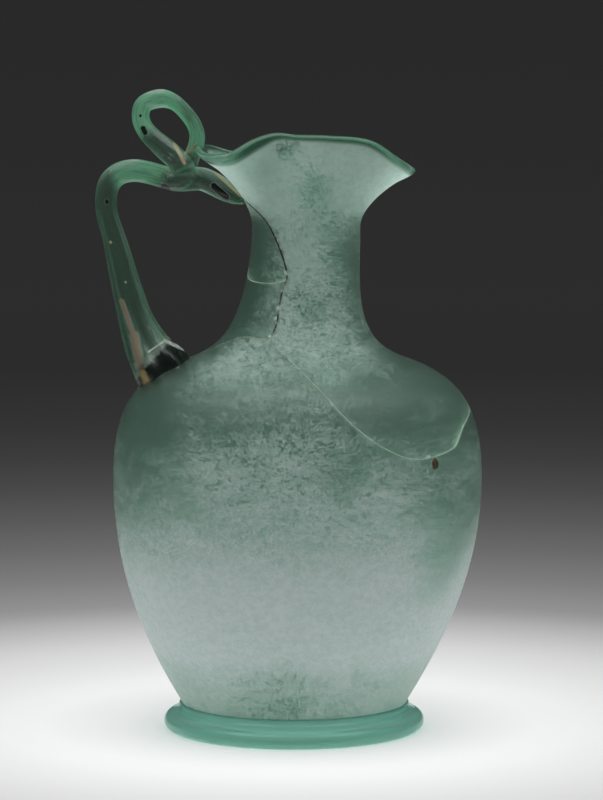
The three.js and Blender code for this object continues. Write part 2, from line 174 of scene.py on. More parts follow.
def lipAt(turn):
    rows = np.array(lipStations, float)
    knots = -rows[:, 0]
    values = rows[:, 1:]
    count = len(rows)
    place = np.mod(-np.asarray(turn, float), 360.0)
    first = np.searchsorted(knots, place, side="right") - 1

    def knotAt(index):
        return knots[np.mod(index, count)] + 360.0 * np.floor_divide(index, count)

    def valueAt(index):
        return values[np.mod(index, count)]

    def slopeAt(index):
        between = knotAt(index + 1) - knotAt(index - 1)
        return (valueAt(index + 1) - valueAt(index - 1)) / between[..., None]

    span = knotAt(first + 1) - knotAt(first)
    t = ((place - knotAt(first)) / span)[..., None]
    span = span[..., None]
    found = (
        (2 * t**3 - 3 * t**2 + 1) * valueAt(first)
        + (t**3 - 2 * t**2 + t) * span * slopeAt(first)
        + (3 * t**2 - 2 * t**3) * valueAt(first + 1)
        + (t**3 - t**2) * span * slopeAt(first + 1)
    )
    v = vessel
    return found * [v["mouthLength"], v["mouthLength"], v["flareRise"]] + [0, 0, v["neckHeight"]]


def leanAt(height):
    v = vessel
    upper = v["neckLean"] * smoothStep(v["shoulderHeight"], v["neckHeight"], height)
    lower = v["heelShift"] * (1 - smoothStep(v["heelHeight"], v["bellyHeight"], height))
    return upper - lower


# The outer face: course runs 0 to 5 along the outline and 5 to 6 up the flare
def outerFace(turn, course):
    v = vessel
    turn, course = np.broadcast_arrays(np.asarray(turn, float), np.asarray(course, float))
    angle = np.radians(turn)
    side = np.stack([np.cos(angle), np.sin(angle)], axis=-1)
    place = np.zeros(turn.shape + (3,))
    index = np.minimum(course.astype(int), flareCourse)
    for i, corners in enumerate(outline):
        here = index == i
        flat = bezier(corners, course[here] - i)
        place[here, :2] = flat[:, :1] * side[here]
        place[here, 0] += leanAt(flat[:, 1])
        place[here, 2] = flat[:, 1]
    here = index == flareCourse
    lip = lipAt(turn[here])
    rise = np.zeros_like(lip)
    rise[:, 2] = lip[:, 2] - v["neckHeight"]
    neckTop = np.full((len(lip), 1), v["neckHeight"])
    start = np.concatenate([side[here] * v["neckRadius"], neckTop], axis=1)
    second = start + v["flareStraight"] * rise
    half = v["flareHalf"]
    third = half * (start + half * rise) + (1 - half) * lip
    t = np.clip(course[here] - flareCourse, 0, 1)[:, None]
    u = 1 - t
    flare = u**3 * start + 3 * u * u * t * second + 3 * u * t * t * third + t**3 * lip
    place[here] = flare + [v["neckLean"], 0, 0]
    return place


def outwardAt(turn, course):
    turn, course = np.broadcast_arrays(np.asarray(turn, float), np.asarray(course, float))
    step = 0.02
    baseStart = 0.001
    baseMiddle = 0.05  # so close to the middle of the base, the wall is level
    ahead = outerFace(turn, np.minimum(course + step, lipCourse))
    behind = outerFace(turn, np.maximum(course - step, baseStart))
    around = outerFace(turn + 1, course) - outerFace(turn - 1, course)
    outward = unit(np.cross(around, ahead - behind))
    outward[course < baseMiddle] = [0, 0, -1]
    return outward


def thicknessAt(course):
    share = smoothStep(vessel["lipThickens"], lipCourse, course)
    return vessel["wall"] + (vessel["lip"] - vessel["wall"]) * share


def beadAt(course):
    return vessel["lipBead"] * smoothStep(*vessel["beadCourses"], course)


# The course of the outer face at a height, on the wall above the base
def courseAt(turn, height):
    halvings = 30
    turn = np.asarray(turn, float)
    low = np.full(turn.shape, 1.0)
    high = np.full(turn.shape, float(lipCourse))
    for _ in range(halvings):
        middle = 0.5 * (low + high)
        below = outerFace(turn, middle)[..., 2] < height
        low = np.where(below, middle, low)
        high = np.where(below, high, middle)
    return 0.5 * (low + high)


def placeOn(turn, height):
    return outerFace(turn, float(courseAt(np.array(float(turn)), height)))


# The mends: lines of [turn, height] on the outer face, where the jug broke

nearCorner = [-107, 171.5]
farCorner = [-250, 171]
nearFork = [-112.7, 149.7]
farFork = [-252, 150]
mendLines = {
    "neck": [
        nearCorner, [-110, 176], [-120, 183.5], [-133, 191], [-151, 196.7], [-165, 199.6],
        [-180, 200.5], [-200, 199], [-215, 195], [-230, 188], [-243, 180], farCorner,
    ],
    "ring": [
        nearCorner, [-116, 169.2], [-139, 169.1], [-160, 169.6], [-180, 171.5],
        [-205, 173], [-230, 172.5], farCorner,
    ],
    "nearUpright": [nearCorner, [-110.5, 167], [-111, 160], [-109.6, 154], nearFork],
    "farUpright": [farCorner, [-253, 164], [-249, 156], farFork],
    "backShoulder": [
        nearFork, [-126, 149.8], [-142, 149.2], [-152, 147.8], [-165, 145.5], [-180, 142.6],
        [-200, 143], [-225, 146.5], farFork,
    ],
    "frontShoulder": [
        farFork, [-268, 147], [-284, 142.5], [-300, 137], [-316, 131.5], [-332, 127],
        [-347, 124], [-361, 122], [-369, 120.5], [-378, 118.9], [-384.4, 116], [-388.6, 112.8],
        [-391, 110.5], [-397, 109.2], [-403, 108.1], [-412, 107.9], [-417, 109.9],
        [-422, 112.7], [-427, 116.4], [-433, 122.7], [-438.4, 129.6], [-441.3, 133.5],
        [-446.5, 138.1], [-451.4, 141], [-458, 143.8], [-466, 146.4],
        [nearFork[0] - 360, nearFork[1]],
    ],
}


# Rounds a line's corners, keeps its ends and gives it steps short enough for the mesh
def softLine(points):
    rounds = 2
    step = [1.5, 1.0]  # degrees and mm
    line = np.array(points, float)
    for _ in range(rounds):
        quarter = 0.75 * line[:-1] + 0.25 * line[1:]
        threeQuarters = 0.25 * line[:-1] + 0.75 * line[1:]
        cut = np.stack([quarter, threeQuarters], axis=1).reshape(-1, 2)
        line = np.vstack([line[:1], cut[1:-1], line[-1:]])
    finer = [line[0]]
    for before, after in zip(line[:-1], line[1:]):
        count = max(1, int(np.ceil(np.abs((after - before) / step).max())))
        for k in range(1, count + 1):
            finer.append(before + (after - before) * k / count)
    return np.array(finer)


seamTurn = -90.0  # where the unrolled vessel is cut open, away from the upright mends


# A line in unrolled columns, as one or two runs that stay between the two sides of the cut
def unrolledRuns(line):
    low = seamTurn - 360
    beyond = line[:, 0] < low
    if not beyond.any():
        return [line]
    k = int(np.argmax(beyond))
    share = (low - line[k - 1, 0]) / (line[k, 0] - line[k - 1, 0])
    crossing = line[k - 1] + share * (line[k] - line[k - 1])
    first = np.vstack([line[:k], crossing])
    second = np.vstack([crossing, line[k:]]) + [360, 0]
    return [first, second]


# The unrolled outer face, cut along the mends, as one sheet of faces in the four fragments
def cutSheet():
    facesWithoutHoles = 4
    nearestPoints = 1e-5
    samePlace = 2e-4  # mm between places that are one vertex
    courses = [i + k / count for i, count in enumerate(vessel["rows"]) for k in range(count)]
    courses = np.array(courses + [float(lipCourse)])
    rowCount = len(courses)
    columnCount = round(360 / vessel["turnStep"]) + 1
    points = []
    edges = []
    for line in mendLines.values():
        for run in unrolledRuns(softLine(line)):
            rows = np.interp(courseAt(run[:, 0], run[:, 1]), courses, np.arange(rowCount))
            columns = (seamTurn - run[:, 0]) / vessel["turnStep"]
            start = len(points)
            points += [Vector((c, r)) for c, r in zip(columns, rows)]
            edges += [(start + k, start + k + 1) for k in range(len(run) - 1)]
    mendCount = len(edges)
    start = len(points)
    points += [Vector((c, r)) for r in range(rowCount) for c in range(columnCount)]
    for r in range(rowCount):
        for c in range(columnCount):
            here = start + r * columnCount + c
            if c + 1 < columnCount:
                edges.append((here, here + 1))
            if r + 1 < rowCount:
                edges.append((here, here + columnCount))
    cut = geometry.delaunay_2d_cdt(points, edges, [], facesWithoutHoles, nearestPoints)
    flat, flatEdges, flatFaces, _, edgeFrom, _ = cut
    flat = np.array([tuple(p) for p in flat])
    turn = seamTurn - flat[:, 0] * vessel["turnStep"]
    course = np.interp(flat[:, 1], np.arange(rowCount), courses)
    place = outerFace(turn, course)

    # Both sides of the cut, and the ends of a line that two runs share, are one vertex
    keys = np.round(place / samePlace).astype(np.int64)
    _, firsts, same = np.unique(keys, axis=0, return_index=True, return_inverse=True)
    same = same.reshape(-1)
    turn = turn[firsts]
    course = course[firsts]
    mends = set()
    for (a, b), came in zip(flatEdges, edgeFrom):
        if any(e < mendCount for e in came):
            mends.add(frozenset((same[a], same[b])))
    faces = []
    for face in flatFaces:
        corners = [same[v] for v in face]
        corners = [v for k, v in enumerate(corners) if v != corners[k - 1]]
        if len(corners) > 2:
            faces.append(corners)
    return turn, course, faces, mends


# The sheet's faces in groups that no mend crosses
def fragmentsOf(faces, mends):
    sides = {}
    for f, face in enumerate(faces):
        for k, v in enumerate(face):
            sides.setdefault(frozenset((face[k - 1], v)), []).append(f)
    group = [-1] * len(faces)
    groups = []
    for seed in range(len(faces)):
        if group[seed] >= 0:
            continue
        group[seed] = len(groups)
        members = []
        waiting = [seed]
        while waiting:
            f = waiting.pop()
            members.append(f)
            face = faces[f]
            for k, v in enumerate(face):
                edge = frozenset((face[k - 1], v))
                if edge in mends:
                    continue
                for other in sides[edge]:
                    if group[other] < 0:
                        group[other] = group[seed]
                        waiting.append(other)
        groups.append(members)
    return sorted(groups, key=len, reverse=True)


# One fragment as a closed wall: outer face, inner face, broken edges and rounded lip
def wallMesh(name, members, turn, course, faces):
    own = [faces[f] for f in members]
    used = sorted({v for face in own for v in face})
    number = {v: k for k, v in enumerate(used)}
    own = [[number[v] for v in face] for face in own]
    t = turn[used]
    c = course[used]
    face = outerFace(t, c)
    outward = outwardAt(t, c)
    rims = {}
    for corners in own:
        for k, v in enumerate(corners):
            before = corners[k - 1]
            if (v, before) in rims:
                del rims[(v, before)]
            else:
                rims[(before, v)] = corners
    aside = np.zeros_like(face)
    isLip = np.abs(c - lipCourse) < 1e-6
    lipRims = [rim for rim in rims if isLip[rim[0]] and isLip[rim[1]]]
    brokenRims = [rim for rim in rims if not (isLip[rim[0]] and isLip[rim[1]])]
    for a, b in brokenRims:
        way = unit(np.cross(outward[a], face[b] - face[a]))
        toMiddle = face[rims[(a, b)]].mean(axis=0) - face[a]
        way = way if way @ toMiddle > 0 else -way
        aside[a] += way
        aside[b] += way
    isBroken = np.linalg.norm(aside, axis=1) > 1e-9
    aside[isBroken] = unit(aside[isBroken]) * vessel["mendGap"]
    outer = face + outward * beadAt(c)[:, None] + aside
    inner = face - outward * thicknessAt(c)[:, None] + aside
    count = len(used)
    vertices = list(outer) + list(inner)
    polygons = [list(corners) for corners in own]
    polygons += [[v + count for v in reversed(corners)] for corners in own]
    for a, b in brokenRims:
        polygons.append([b, a, a + count, b + count])
    if lipRims:
        lips = sorted({v for rim in lipRims for v in rim})
        underLip = 0.05
        up = unit(outerFace(t[lips], lipCourse) - outerFace(t[lips], lipCourse - underLip))
        middle = face[lips] + outward[lips] * 0.5 * (vessel["lipBead"] - vessel["lip"])
        radius = 0.5 * (vessel["lip"] + vessel["lipBead"])
        ringOf = {v: [v] for v in lips}
        for k in range(1, vessel["lipSteps"]):
            angle = math.pi * k / vessel["lipSteps"]
            ring = middle + radius * (outward[lips] * math.cos(angle) + up * math.sin(angle))
            for v, p in zip(lips, ring):
                ringOf[v].append(len(vertices))
                vertices.append(p)
        for v in lips:
            ringOf[v].append(v + count)
        for a, b in lipRims:
            for k in range(vessel["lipSteps"]):
                polygons.append([ringOf[b][k], ringOf[a][k], ringOf[a][k + 1], ringOf[b][k + 1]])
    piece = pieceFrom(name, vertices, polygons)
    distance, shade = nearestMend(face)
    farFromMends = 50.0
    # What is painted on the wall: values on its faces, and the one value on the rounded lip
    layers = {
        "film": (filmAt(name, t, face), 0.0),
        "rim": (rimAt(t, face), 1.0),
        "deep": (deepAt(c, face), 0.0),
        # thin: the painted glow and the painted highlight under the rim
        "thin": (paintedGlowAndHighlightAt(t, face), 0.0),
        "chip": (chipAt(face), 0.0),
        "mend": (distance, farFromMends),
        "mendShade": (shade, 0.0),
    }
    places = np.vstack([face, face, *vertices[2 * count:]])
    giveVectors(piece, "spot", places * metre)
    lipCount = len(vertices) - 2 * count
    for layer, (values, lipValue) in layers.items():
        giveValues(piece, layer, np.concatenate([values, values, np.full(lipCount, lipValue)]))
    sharpen(piece, brokenRims + [(a + count, b + count) for a, b in brokenRims])
    return piece


# The milky film left by damp soil: 0 is bare glass, 1 is the thickest film
filmOnGlass = {
    "sides": -0.24,  # on the body's two sides, towards handle and spout
    "faces": 0.18,  # on its front and back
    "facing": (0.35, 0.97),  # sines of the turn where sides end and faces are full
    "neck": 0.45,
    "neckBand": (146, 160),  # heights between which the neck's film takes over
    "flare": 1.15,
    "flareBand": (188, 202),
    "low": 0.95,  # all round the lower half
    "lowBand": (55, 92),
    "shoulder": 0.4,  # less of it there
    "shoulderBand": (96, 124, 136, 150),
    "heel": (0.45, 24, 36),  # less of it on the heel, fading out between these heights
    "bareShards": 0.5,  # less film on the neck's two small shards
    # turn, height, radius in mm, more or less film
    "patches": [
        [-135, 140, 13, 0.3],  # left of the neck, on the shoulder
        [-146, 118, 17, -0.3],
        [-76, 103, 9, -0.45],
        [-38, 141, 10, 0.2],
        [-60, 128, 16, -0.25],
        [-120, 127, 12, -0.25],
        [-43, 96, 14, -0.2],
        [-107, 95, 22, 0.12],
        [-60, 70, 16, 0.15],
        [-100, 45, 20, 0.15],
        [-104, 218, 6, -1.3],  # the crease behind the near pinch of the lip: bare glass there, for the painted shade of the crease
        [-127, 214, 8, 0.3],
        [-64, 186, 8, -0.35],
        [-92, 178, 8, 0.35],
        [-57, 176, 9, -0.3],
        [-180, 214, 16, 0.3],
        [-77, 205, 10, -1.3],
        [-84, 190, 7, -0.1],
        [-147, 50, 14, 0.35],
        [-28, 45, 16, 0.35],
        [-35, 66, 16, -0.9],
        [-53, 129, 10, -0.25],
        [-131, 95, 12, -0.25],
        [-82, 158, 8, -0.5],
        [-45, 178, 10, -0.25],
        [-92, 21, 13, -0.35],  # the dark dome above the foot
    ],
}


def filmAt(name, turn, face):
    f = filmOnGlass
    height = face[:, 2]
    facing = smoothStep(*f["facing"], np.abs(np.sin(np.radians(turn))))
    amount = f["sides"] + (f["faces"] - f["sides"]) * facing
    amount = f["low"] + (amount - f["low"]) * smoothStep(*f["lowBand"], height)
    start, full, fading, end = f["shoulderBand"]
    onShoulder = smoothStep(start, full, height) * (1 - smoothStep(fading, end, height))
    amount = amount - f["shoulder"] * onShoulder
    bare, start, end = f["heel"]
    amount = amount - bare * (1 - smoothStep(start, end, height))
    neck = f["sides"] + (f["neck"] - f["sides"]) * facing
    amount = amount + (neck - amount) * smoothStep(*f["neckBand"], height)
    amount = amount + (f["flare"] - amount) * smoothStep(*f["flareBand"], height)
    for patchTurn, patchHeight, radius, change in f["patches"]:
        distance = np.linalg.norm(face - placeOn(patchTurn, patchHeight), axis=1)
        amount = amount + change * np.exp(-(distance / radius) ** 2)
    if name.startswith("neck"):
        amount = amount - f["bareShards"]
    return amount


# The lip's bare edge, broader towards the back lobe
rimOnGlass = {
    "width": 1.4,
    "backWidth": 3.4,
    "backTurns": (-95, -135, -215, -255),  # where the broad part starts, is full, fades and ends
    "fade": 1.6,
    "fadeOut": 0.3,  # share of the fade that lies outside the width
}


def rimWidth(turn):
    r = rimOnGlass
    start, full, fading, end = r["backTurns"]
    back = smoothStep(start, full, turn) * (1 - smoothStep(fading, end, turn))
    return r["width"] + (r["backWidth"] - r["width"]) * back


def fromLip(turn, face):
    return np.linalg.norm(outerFace(turn, float(lipCourse)) - face, axis=1)


def rimAt(turn, face):
    width = rimWidth(turn)
    fade = rimOnGlass["fade"]
    return 1 - smoothStep(width - fade, width + rimOnGlass["fadeOut"] * fade, fromLip(turn, face))


# Painted light: more of the film's translucency under the spout's tip and on the back lobe, where the glass
# looks lit through, and a painted highlight along the lower edge of the bare rim
paintedGlowAndHighlight = {
    # turn, height, radius in mm, share
    "patches": [
        [-3, 209, 9, 0.7],  # under the tip of the spout
        [-200, 217, 12, 0.8],  # the back lobe's inner face
        [-124, 212, 8, 0.3],
    ],
    "underRim": 1.0,  # painted highlight: a white line along the lower edge of the bare rim
    "underRimTurns": (-92, -12),
    "underRimFade": 10,  # degrees either side of its ends
    "underRimLine": (-0.3, 0.6, 1.0, 3.5),  # mm below the rim: starts, is full, fades and ends
}


def paintedGlowAndHighlightAt(turn, face):
    g = paintedGlowAndHighlight
    amount = np.zeros(len(face))
    for patchTurn, height, radius, share in g["patches"]:
        distance = np.linalg.norm(face - placeOn(patchTurn, height), axis=1)
        amount = np.maximum(amount, share * np.exp(-(distance / radius) ** 2))
    under = fromLip(turn, face) - rimWidth(turn)
    first, last = g["underRimTurns"]
    fade = g["underRimFade"]
    along = smoothStep(first - fade, first + fade, turn) * (1 - smoothStep(last - fade, last + fade, turn))
    start, full, fading, end = g["underRimLine"]
    line = g["underRim"] * along * smoothStep(start, full, under) * (1 - smoothStep(fading, end, under))
    return np.maximum(amount, line)


# The thick pushed-in base and the wall just above it, where the glass looks deeper green
deepGlass = {
    "kick": 1.0,
    "kickEnd": 1.6,  # course that it reaches to
    "heel": 0.2,
    "fade": (12.0, 34.0),  # heights between which it fades out
}


def deepAt(course, face):
    d = deepGlass
    heel = d["heel"] * (1 - smoothStep(*d["fade"], face[:, 2]))
    return np.where(course < d["kickEnd"], d["kick"], heel)


# Small chips and bruises along the mends: turn, height and radius in mm
chips = [
    [-113.5, 150.3, 0.8],
    [-112.5, 156.5, 0.7],
    [-111.5, 160.5, 0.9],
    [-112.5, 164.0, 0.8],
    [-111, 167.0, 0.7],
    [-109, 173.0, 1.0],
    [-78, 128.5, 0.5],
    [-18, 118.5, 0.5],
]


def chipAt(face):
    inner, outer = 0.4, 1.4  # shares of the radius between which a chip fades out
    amount = np.zeros(len(face))
    for turn, height, radius in chips:
        distance = np.linalg.norm(face - placeOn(turn, height), axis=1)
        amount = np.maximum(amount, 1 - smoothStep(inner * radius, outer * radius, distance))
    return amount


# For each mend its half width in mm and how dark it shows: 0 is pale glue, 1 a dark crack
mendLooks = {
    "neck": [0.42, 0.85],
    "ring": [0.24, 0.1],
    "nearUpright": [0.5, 0.6],
    "farUpright": [0.3, 0.4],
    "backShoulder": [0.28, 0.5],
    "frontShoulder": [0.17, 0.35],
}
paleMendBand = (125, 133)  # heights below which every mend is pale, and above which none is made paler


# How far each place is from its nearest mend, in half widths, and that mend's darkness,
# which fades towards the pale low part of the front mend
def nearestMend(face):
    tree = KDTree(sum(len(line) for line in mendPlaces.values()))
    looks = []
    for name, line in mendPlaces.items():
        for place in line:
            tree.insert(place, len(looks))
            looks.append(mendLooks[name])
    tree.balance()
    found = [tree.find(place) for place in face]
    distance = np.array([distance / looks[index][0] for _, index, distance in found])
    shade = np.array([looks[index][1] for _, index, _ in found])
    return distance, shade * smoothStep(*paleMendBand, face[:, 2])


def closePlaces(line, spacing=0.25):
    places = outerFace(line[:, 0], courseAt(line[:, 0], line[:, 1]))
    closer = [places[0]]
    for before, after in zip(places[:-1], places[1:]):
        count = max(1, math.ceil(np.linalg.norm(after - before) / spacing))
        closer += [before + (after - before) * k / count for k in range(1, count + 1)]
    return closer


mendPlaces = {name: closePlaces(softLine(line)) for name, line in mendLines.items()}


def giveValues(piece, name, values):
    layer = piece.data.attributes.new(name, "FLOAT", "POINT")
    layer.data.foreach_set("value", np.asarray(values, np.float32))


def giveVectors(piece, name, vectors):
    layer = piece.data.attributes.new(name, "FLOAT_VECTOR", "POINT")
    layer.data.foreach_set("vector", np.asarray(vectors, np.float32).ravel())


def pieceFrom(name, vertices, polygons):
    mesh = bpy.data.meshes.new(name)
    mesh.from_pydata([tuple(p) for p in toFrame(vertices)], [], polygons)
    bm = bmesh.new()
    bm.from_mesh(mesh)
    bmesh.ops.recalc_face_normals(bm, faces=bm.faces)
    bm.to_mesh(mesh)
    bm.free()
    mesh.shade_smooth()
    piece = bpy.data.objects.new(name, mesh)
    bpy.context.scene.collection.objects.link(piece)
    return piece


def sharpen(piece, rims):
    wanted = {frozenset(rim) for rim in rims}
    for edge in piece.data.edges:
        if frozenset(edge.vertices) in wanted:
            edge.use_edge_sharp = True


def blownPieces():
    turn, course, faces, mends = cutSheet()
    groups = fragmentsOf(faces, mends)
    print("fragments of", [len(members) for members in groups], "faces")
    height = outerFace(turn, course)[:, 2]

    def topOf(members):
        return max(height[v] for f in members for v in faces[f])

    shards = sorted(groups[2:4], key=topOf, reverse=True)
    names = ["body", "mouth_and_spout", "neck_upper_shard", "neck_lower_shard"]
    made = {}
    for name, members in zip(names, [groups[0], groups[1], *shards]):
        made[name] = wallMesh(name, members, turn, course, faces)
        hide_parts(name)
        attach(made[name], "root")
    return made


blown = blownPieces()
print("blown glass made")

# Foot ring: a thick trail of clear glass wound round the heel

foot = {
    "radius": 48.9,
    "edge": 3.3,
    "flatWidth": 8.0,
    "edgeArc": 150,  # degrees that the rounded edge turns through, from the flat underside
    "edgeSteps": 12,
    "topHeight": 10.5,
    "topLedge": 0.7,  # width of the ring's thin top against the wall
    "slopeOut": 0.42,  # the sloping top's middle, from the wall to the edge
    "slopeDown": 0.62,
    "slopeSteps": 14,
    "innerEnd": 1.1,  # course of the wall where the ring's inner side leaves it
    "innerLedge": 1.2,
    "innerHeights": (3.1, 1.0),
    "clearance": 0.05,  # between the ring and the wall it clings to
    "turnStep": 1.5,
    "toolRings": 0.07,  # depth of the rings that the tool left on the sloping top
    "ringSpacing": 1.5,
    "jointLine": (0.3, 1.0),  # mm from the joint where its dark line fades and ends
}


def footSection():
    f = foot
    centre = np.array([f["radius"] - f["edge"], f["edge"]])
    section = [[centre[0] - f["flatWidth"], 0.0]]
    for k in range(f["edgeSteps"] + 1):
        angle = math.radians(-90 + f["edgeArc"] * k / f["edgeSteps"])
        section.append([centre[0] + f["edge"] * math.cos(angle), centre[1] + f["edge"] * math.sin(angle)])
    shift = leanAt(0.0)

    def wallAt(course):
        return outerFace(0.0, course) + outwardAt(0.0, course) * f["clearance"]

    topCourse = float(courseAt(np.array(0.0), f["topHeight"]))
    top = wallAt(topCourse)
    top = np.array([top[0] - shift, top[2]])
    last = np.array(section[-1])
    middle = np.array([
        top[0] + (last[0] - top[0]) * f["slopeOut"],
        f["topHeight"] + (last[1] - f["topHeight"]) * f["slopeDown"],
    ])
    slopeEnd = top + [f["topLedge"], 0.0]
    steps = f["slopeSteps"]
    for k in range(1, steps + 1):
        t = k / steps
        p = (1 - t) ** 2 * last + 2 * t * (1 - t) * (2 * middle - 0.5 * (last + slopeEnd)) + t * t * slopeEnd
        tool = f["toolRings"] * math.sin(2 * math.pi * (p[0] - slopeEnd[0]) / f["ringSpacing"])
        section.append([p[0], p[1] + tool * math.sin(math.pi * t)])
    for course in np.linspace(topCourse, f["innerEnd"], steps):
        p = wallAt(course)
        section.append([p[0] - shift, p[2]])
    inner = centre[0] - f["flatWidth"] - f["innerLedge"]
    section += [[inner, height] for height in f["innerHeights"]]
    return np.array(section), shift


def footRing():
    section, shift = footSection()
    count = len(section)
    turns = np.arange(0, 360, foot["turnStep"])
    vertices = []
    for turn in turns:
        angle = math.radians(turn)
        for r, z in section:
            vertices.append([shift + r * math.cos(angle), r * math.sin(angle), z])
    polygons = []
    for i in range(len(turns)):
        here = i * count
        there = (i + 1) % len(turns) * count
        for k in range(count):
            after = (k + 1) % count
            polygons.append([here + k, there + k, there + after, here + after])
    piece = pieceFrom("foot_ring", vertices, polygons)
    topPlace = section[:, 1].argmax()
    fromJoint = np.hypot(*(section - section[topPlace]).T)
    joint = 1 - smoothStep(*foot["jointLine"], fromJoint)
    giveValues(piece, "joint", np.tile(joint, len(turns)))
    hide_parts("foot_ring")
    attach(piece, "root")
    return piece


ring = footRing()
print("foot ring made")

# Handle: a ribbed rod drawn up from the shoulder, bent over and folded into a loop at the lip

handle = {
    "clawHeight": 136.4,
    "stationsRise": 81.0,
    "sides": 40,
    "stepsPerStation": 5,
    "ribs": 3,
    "ribDepth": 0.16,  # share of the rod's radius
    "ribTurn": 0.9,  # radians
    "ribFade": 0.45,  # share of the way to ribEnd where they start to die out
    "ribEnd": 14,  # station where the ribs have died out
    "voxel": 0.4,
    "calming": (0.5, 4),  # strength and rounds of smoothing where the two rods are fused
    "clearance": 0.03,
}

# [outside the line from claw to lip, height, half thickness, half breadth, shift to the far side]
shaftStations = [
    [-4.3, -7.4, 10, 10, -2.5],
    [1.8, 0, 10.8, 11, -2.5],
    [5.9, 4.9, 9.4, 9, -2],
    [9.5, 9.9, 8.2, 7.4, -1.2],
    [13.9, 17.7, 6.7, 6.3, -0.5],
    [18.4, 28.2, 5.8, 5.7, 0],
    [21.4, 35.7, 5.3, 5.4, 0],
    [24.4, 43.5, 4.8, 5, 0],
    [26.9, 49.6, 4.3, 4.6, 0],
    [30.1, 56.9, 4.1, 4.4, 0],
    [31.3, 62.1, 4.1, 4.3, 0],
    [31.6, 66.1, 4.1, 4.3, 0],
    [30.7, 69.8, 4.2, 4.3, 0],
    [28.4, 72.3, 4.2, 4.3, 0],
    [25, 73.5, 4.2, 4.3, 0],
    [21.2, 73.7, 4.2, 4.3, 0],
    [16.4, 72.8, 4.2, 4.3, 0],
    [11.6, 71.5, 4.2, 4.4, 0],
    [5.7, 70.2, 4.3, 4.6, 0],
    [0.2, 70.6, 4.4, 5, 0],
    [-3.5, 70.5, 4.4, 5.6, 0],
    [-8.3, 68.5, 4.3, 6.4, 0],
    [-12.4, 66.3, 4, 7, 0],
    [-16.7, 64.2, 3.2, 6.4, 0],
    [-20.5, 62.5, 1.6, 3.6, 0],
]
loopStations = [
    [8.5, 70.6, 3.4, 3.6, -2],
    [5, 70.6, 3.6, 3.8, -3.4],
    [3.2, 72.8, 3.9, 3.8, -4.2],
    [4.9, 76, 4.2, 3.8, -4.4],
    [8.8, 79.4, 4.2, 3.8, -4],
    [12.9, 82.6, 4.1, 3.7, -3.2],
    [17.3, 86, 3.7, 3.6, -2.2],
    [21, 89.8, 3.4, 3.4, -1.2],
    [23, 94.2, 3.3, 3.3, -0.5],
    [22.2, 98.6, 3.3, 3.3, 0],
    [16.4, 100.6, 3.5, 3.3, 0.3],
    [11.6, 99.3, 3, 3.1, 0.6],
    [8.7, 97.3, 2.8, 3, 0.8],
    [5.6, 94.4, 2.8, 2.9, 1],
    [2.7, 90.8, 2.8, 2.9, 1.3],
    [1, 87, 2.9, 3, 1.6],
    [0.8, 83.4, 3, 3.2, 1.8],
    [1.5, 79.9, 3, 3.4, 1.8],
    [1.8, 76.3, 2.8, 3.2, 1.6],
]


def catmullRom(values, places):
    values = np.vstack([2 * values[0] - values[1], values, 2 * values[-1] - values[-2]])
    index = np.minimum(places.astype(int), len(values) - 4)
    t = (places - index)[:, None]
    a, b, c, d = (values[index + k] for k in range(4))
    bend = 2 * a - 5 * b + 4 * c - d
    return 0.5 * (2 * b + (c - a) * t + bend * t**2 + (3 * b - 3 * c + d - a) * t**3)


def rodMesh(stations, ribbed):
    h = handle
    claw = outerFace(180.0, courseAt(np.array(180.0), h["clawHeight"]))
    lip = outerFace(180.0, float(lipCourse))
    rows = np.array(stations, float)
    share = rows[:, 1] / h["stationsRise"]
    middles = np.stack([
        claw[0] + (lip[0] - claw[0]) * share - rows[:, 0],
        rows[:, 4],
        claw[2] + (lip[2] - claw[2]) * share,
    ], axis=1)
    places = np.linspace(0, len(rows) - 1, (len(rows) - 1) * h["stepsPerStation"] + 1)
    line = catmullRom(middles, places)
    sizes = catmullRom(rows[:, 2:4], places)
    along = unit(np.gradient(line, axis=0))
    across = unit(np.array([0, 1, 0]) - along * along[:, 1:2])
    inView = np.cross(along, across)
    angles = -2 * np.pi * np.arange(h["sides"]) / h["sides"]
    vertices = []
    for k, place in enumerate(places):
        fade = 1 - smoothStep(h["ribFade"] * h["ribEnd"], h["ribEnd"], place) if ribbed else 0.0
        rib = 1 - h["ribDepth"] * fade * (0.5 - 0.5 * np.cos(h["ribs"] * 2 * angles + h["ribTurn"]))
        ring = (
            line[k]
            + inView[k] * (sizes[k, 0] * rib * np.cos(angles))[:, None]
            + across[k] * (sizes[k, 1] * rib * np.sin(angles))[:, None]
        )
        vertices += list(ring)
    count = h["sides"]
    polygons = []
    for k in range(len(places) - 1):
        for s in range(count):
            after = (s + 1) % count
            here = k * count
            polygons.append([here + s, here + after, here + count + after, here + count + s])
    polygons.append(list(range(count)))
    last = (len(places) - 1) * count
    polygons.append([last + s for s in reversed(range(count))])
    return vertices, polygons, line


def handlePiece():
    shaftPoints, shaftFaces, shaftLine = rodMesh(shaftStations, True)
    loopPoints, loopFaces, loopLine = rodMesh(loopStations, False)
    start = len(shaftPoints)
    loopFaces = [[v + start for v in face] for face in loopFaces]
    piece = pieceFrom("handle", shaftPoints + loopPoints, shaftFaces + loopFaces)
    fuse = piece.modifiers.new("fuse", "REMESH")
    fuse.mode = "VOXEL"
    fuse.voxel_size = handle["voxel"] * metre
    calm = piece.modifiers.new("calm", "SMOOTH")
    calm.factor, calm.iterations = handle["calming"]
    graph = bpy.context.evaluated_depsgraph_get()
    applied = bpy.data.meshes.new_from_object(piece.evaluated_get(graph))
    piece.modifiers.clear()
    piece.data = applied
    applied.name = "handle"
    carriers = [blown[name] for name in ("body", "mouth_and_spout", "neck_upper_shard")]
    settleOn(piece, carriers, handle["clearance"])
    applied.shade_smooth()
    markHandle(piece, [shaftLine, loopLine])
    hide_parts("handle")
    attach(piece, "root")
    return piece


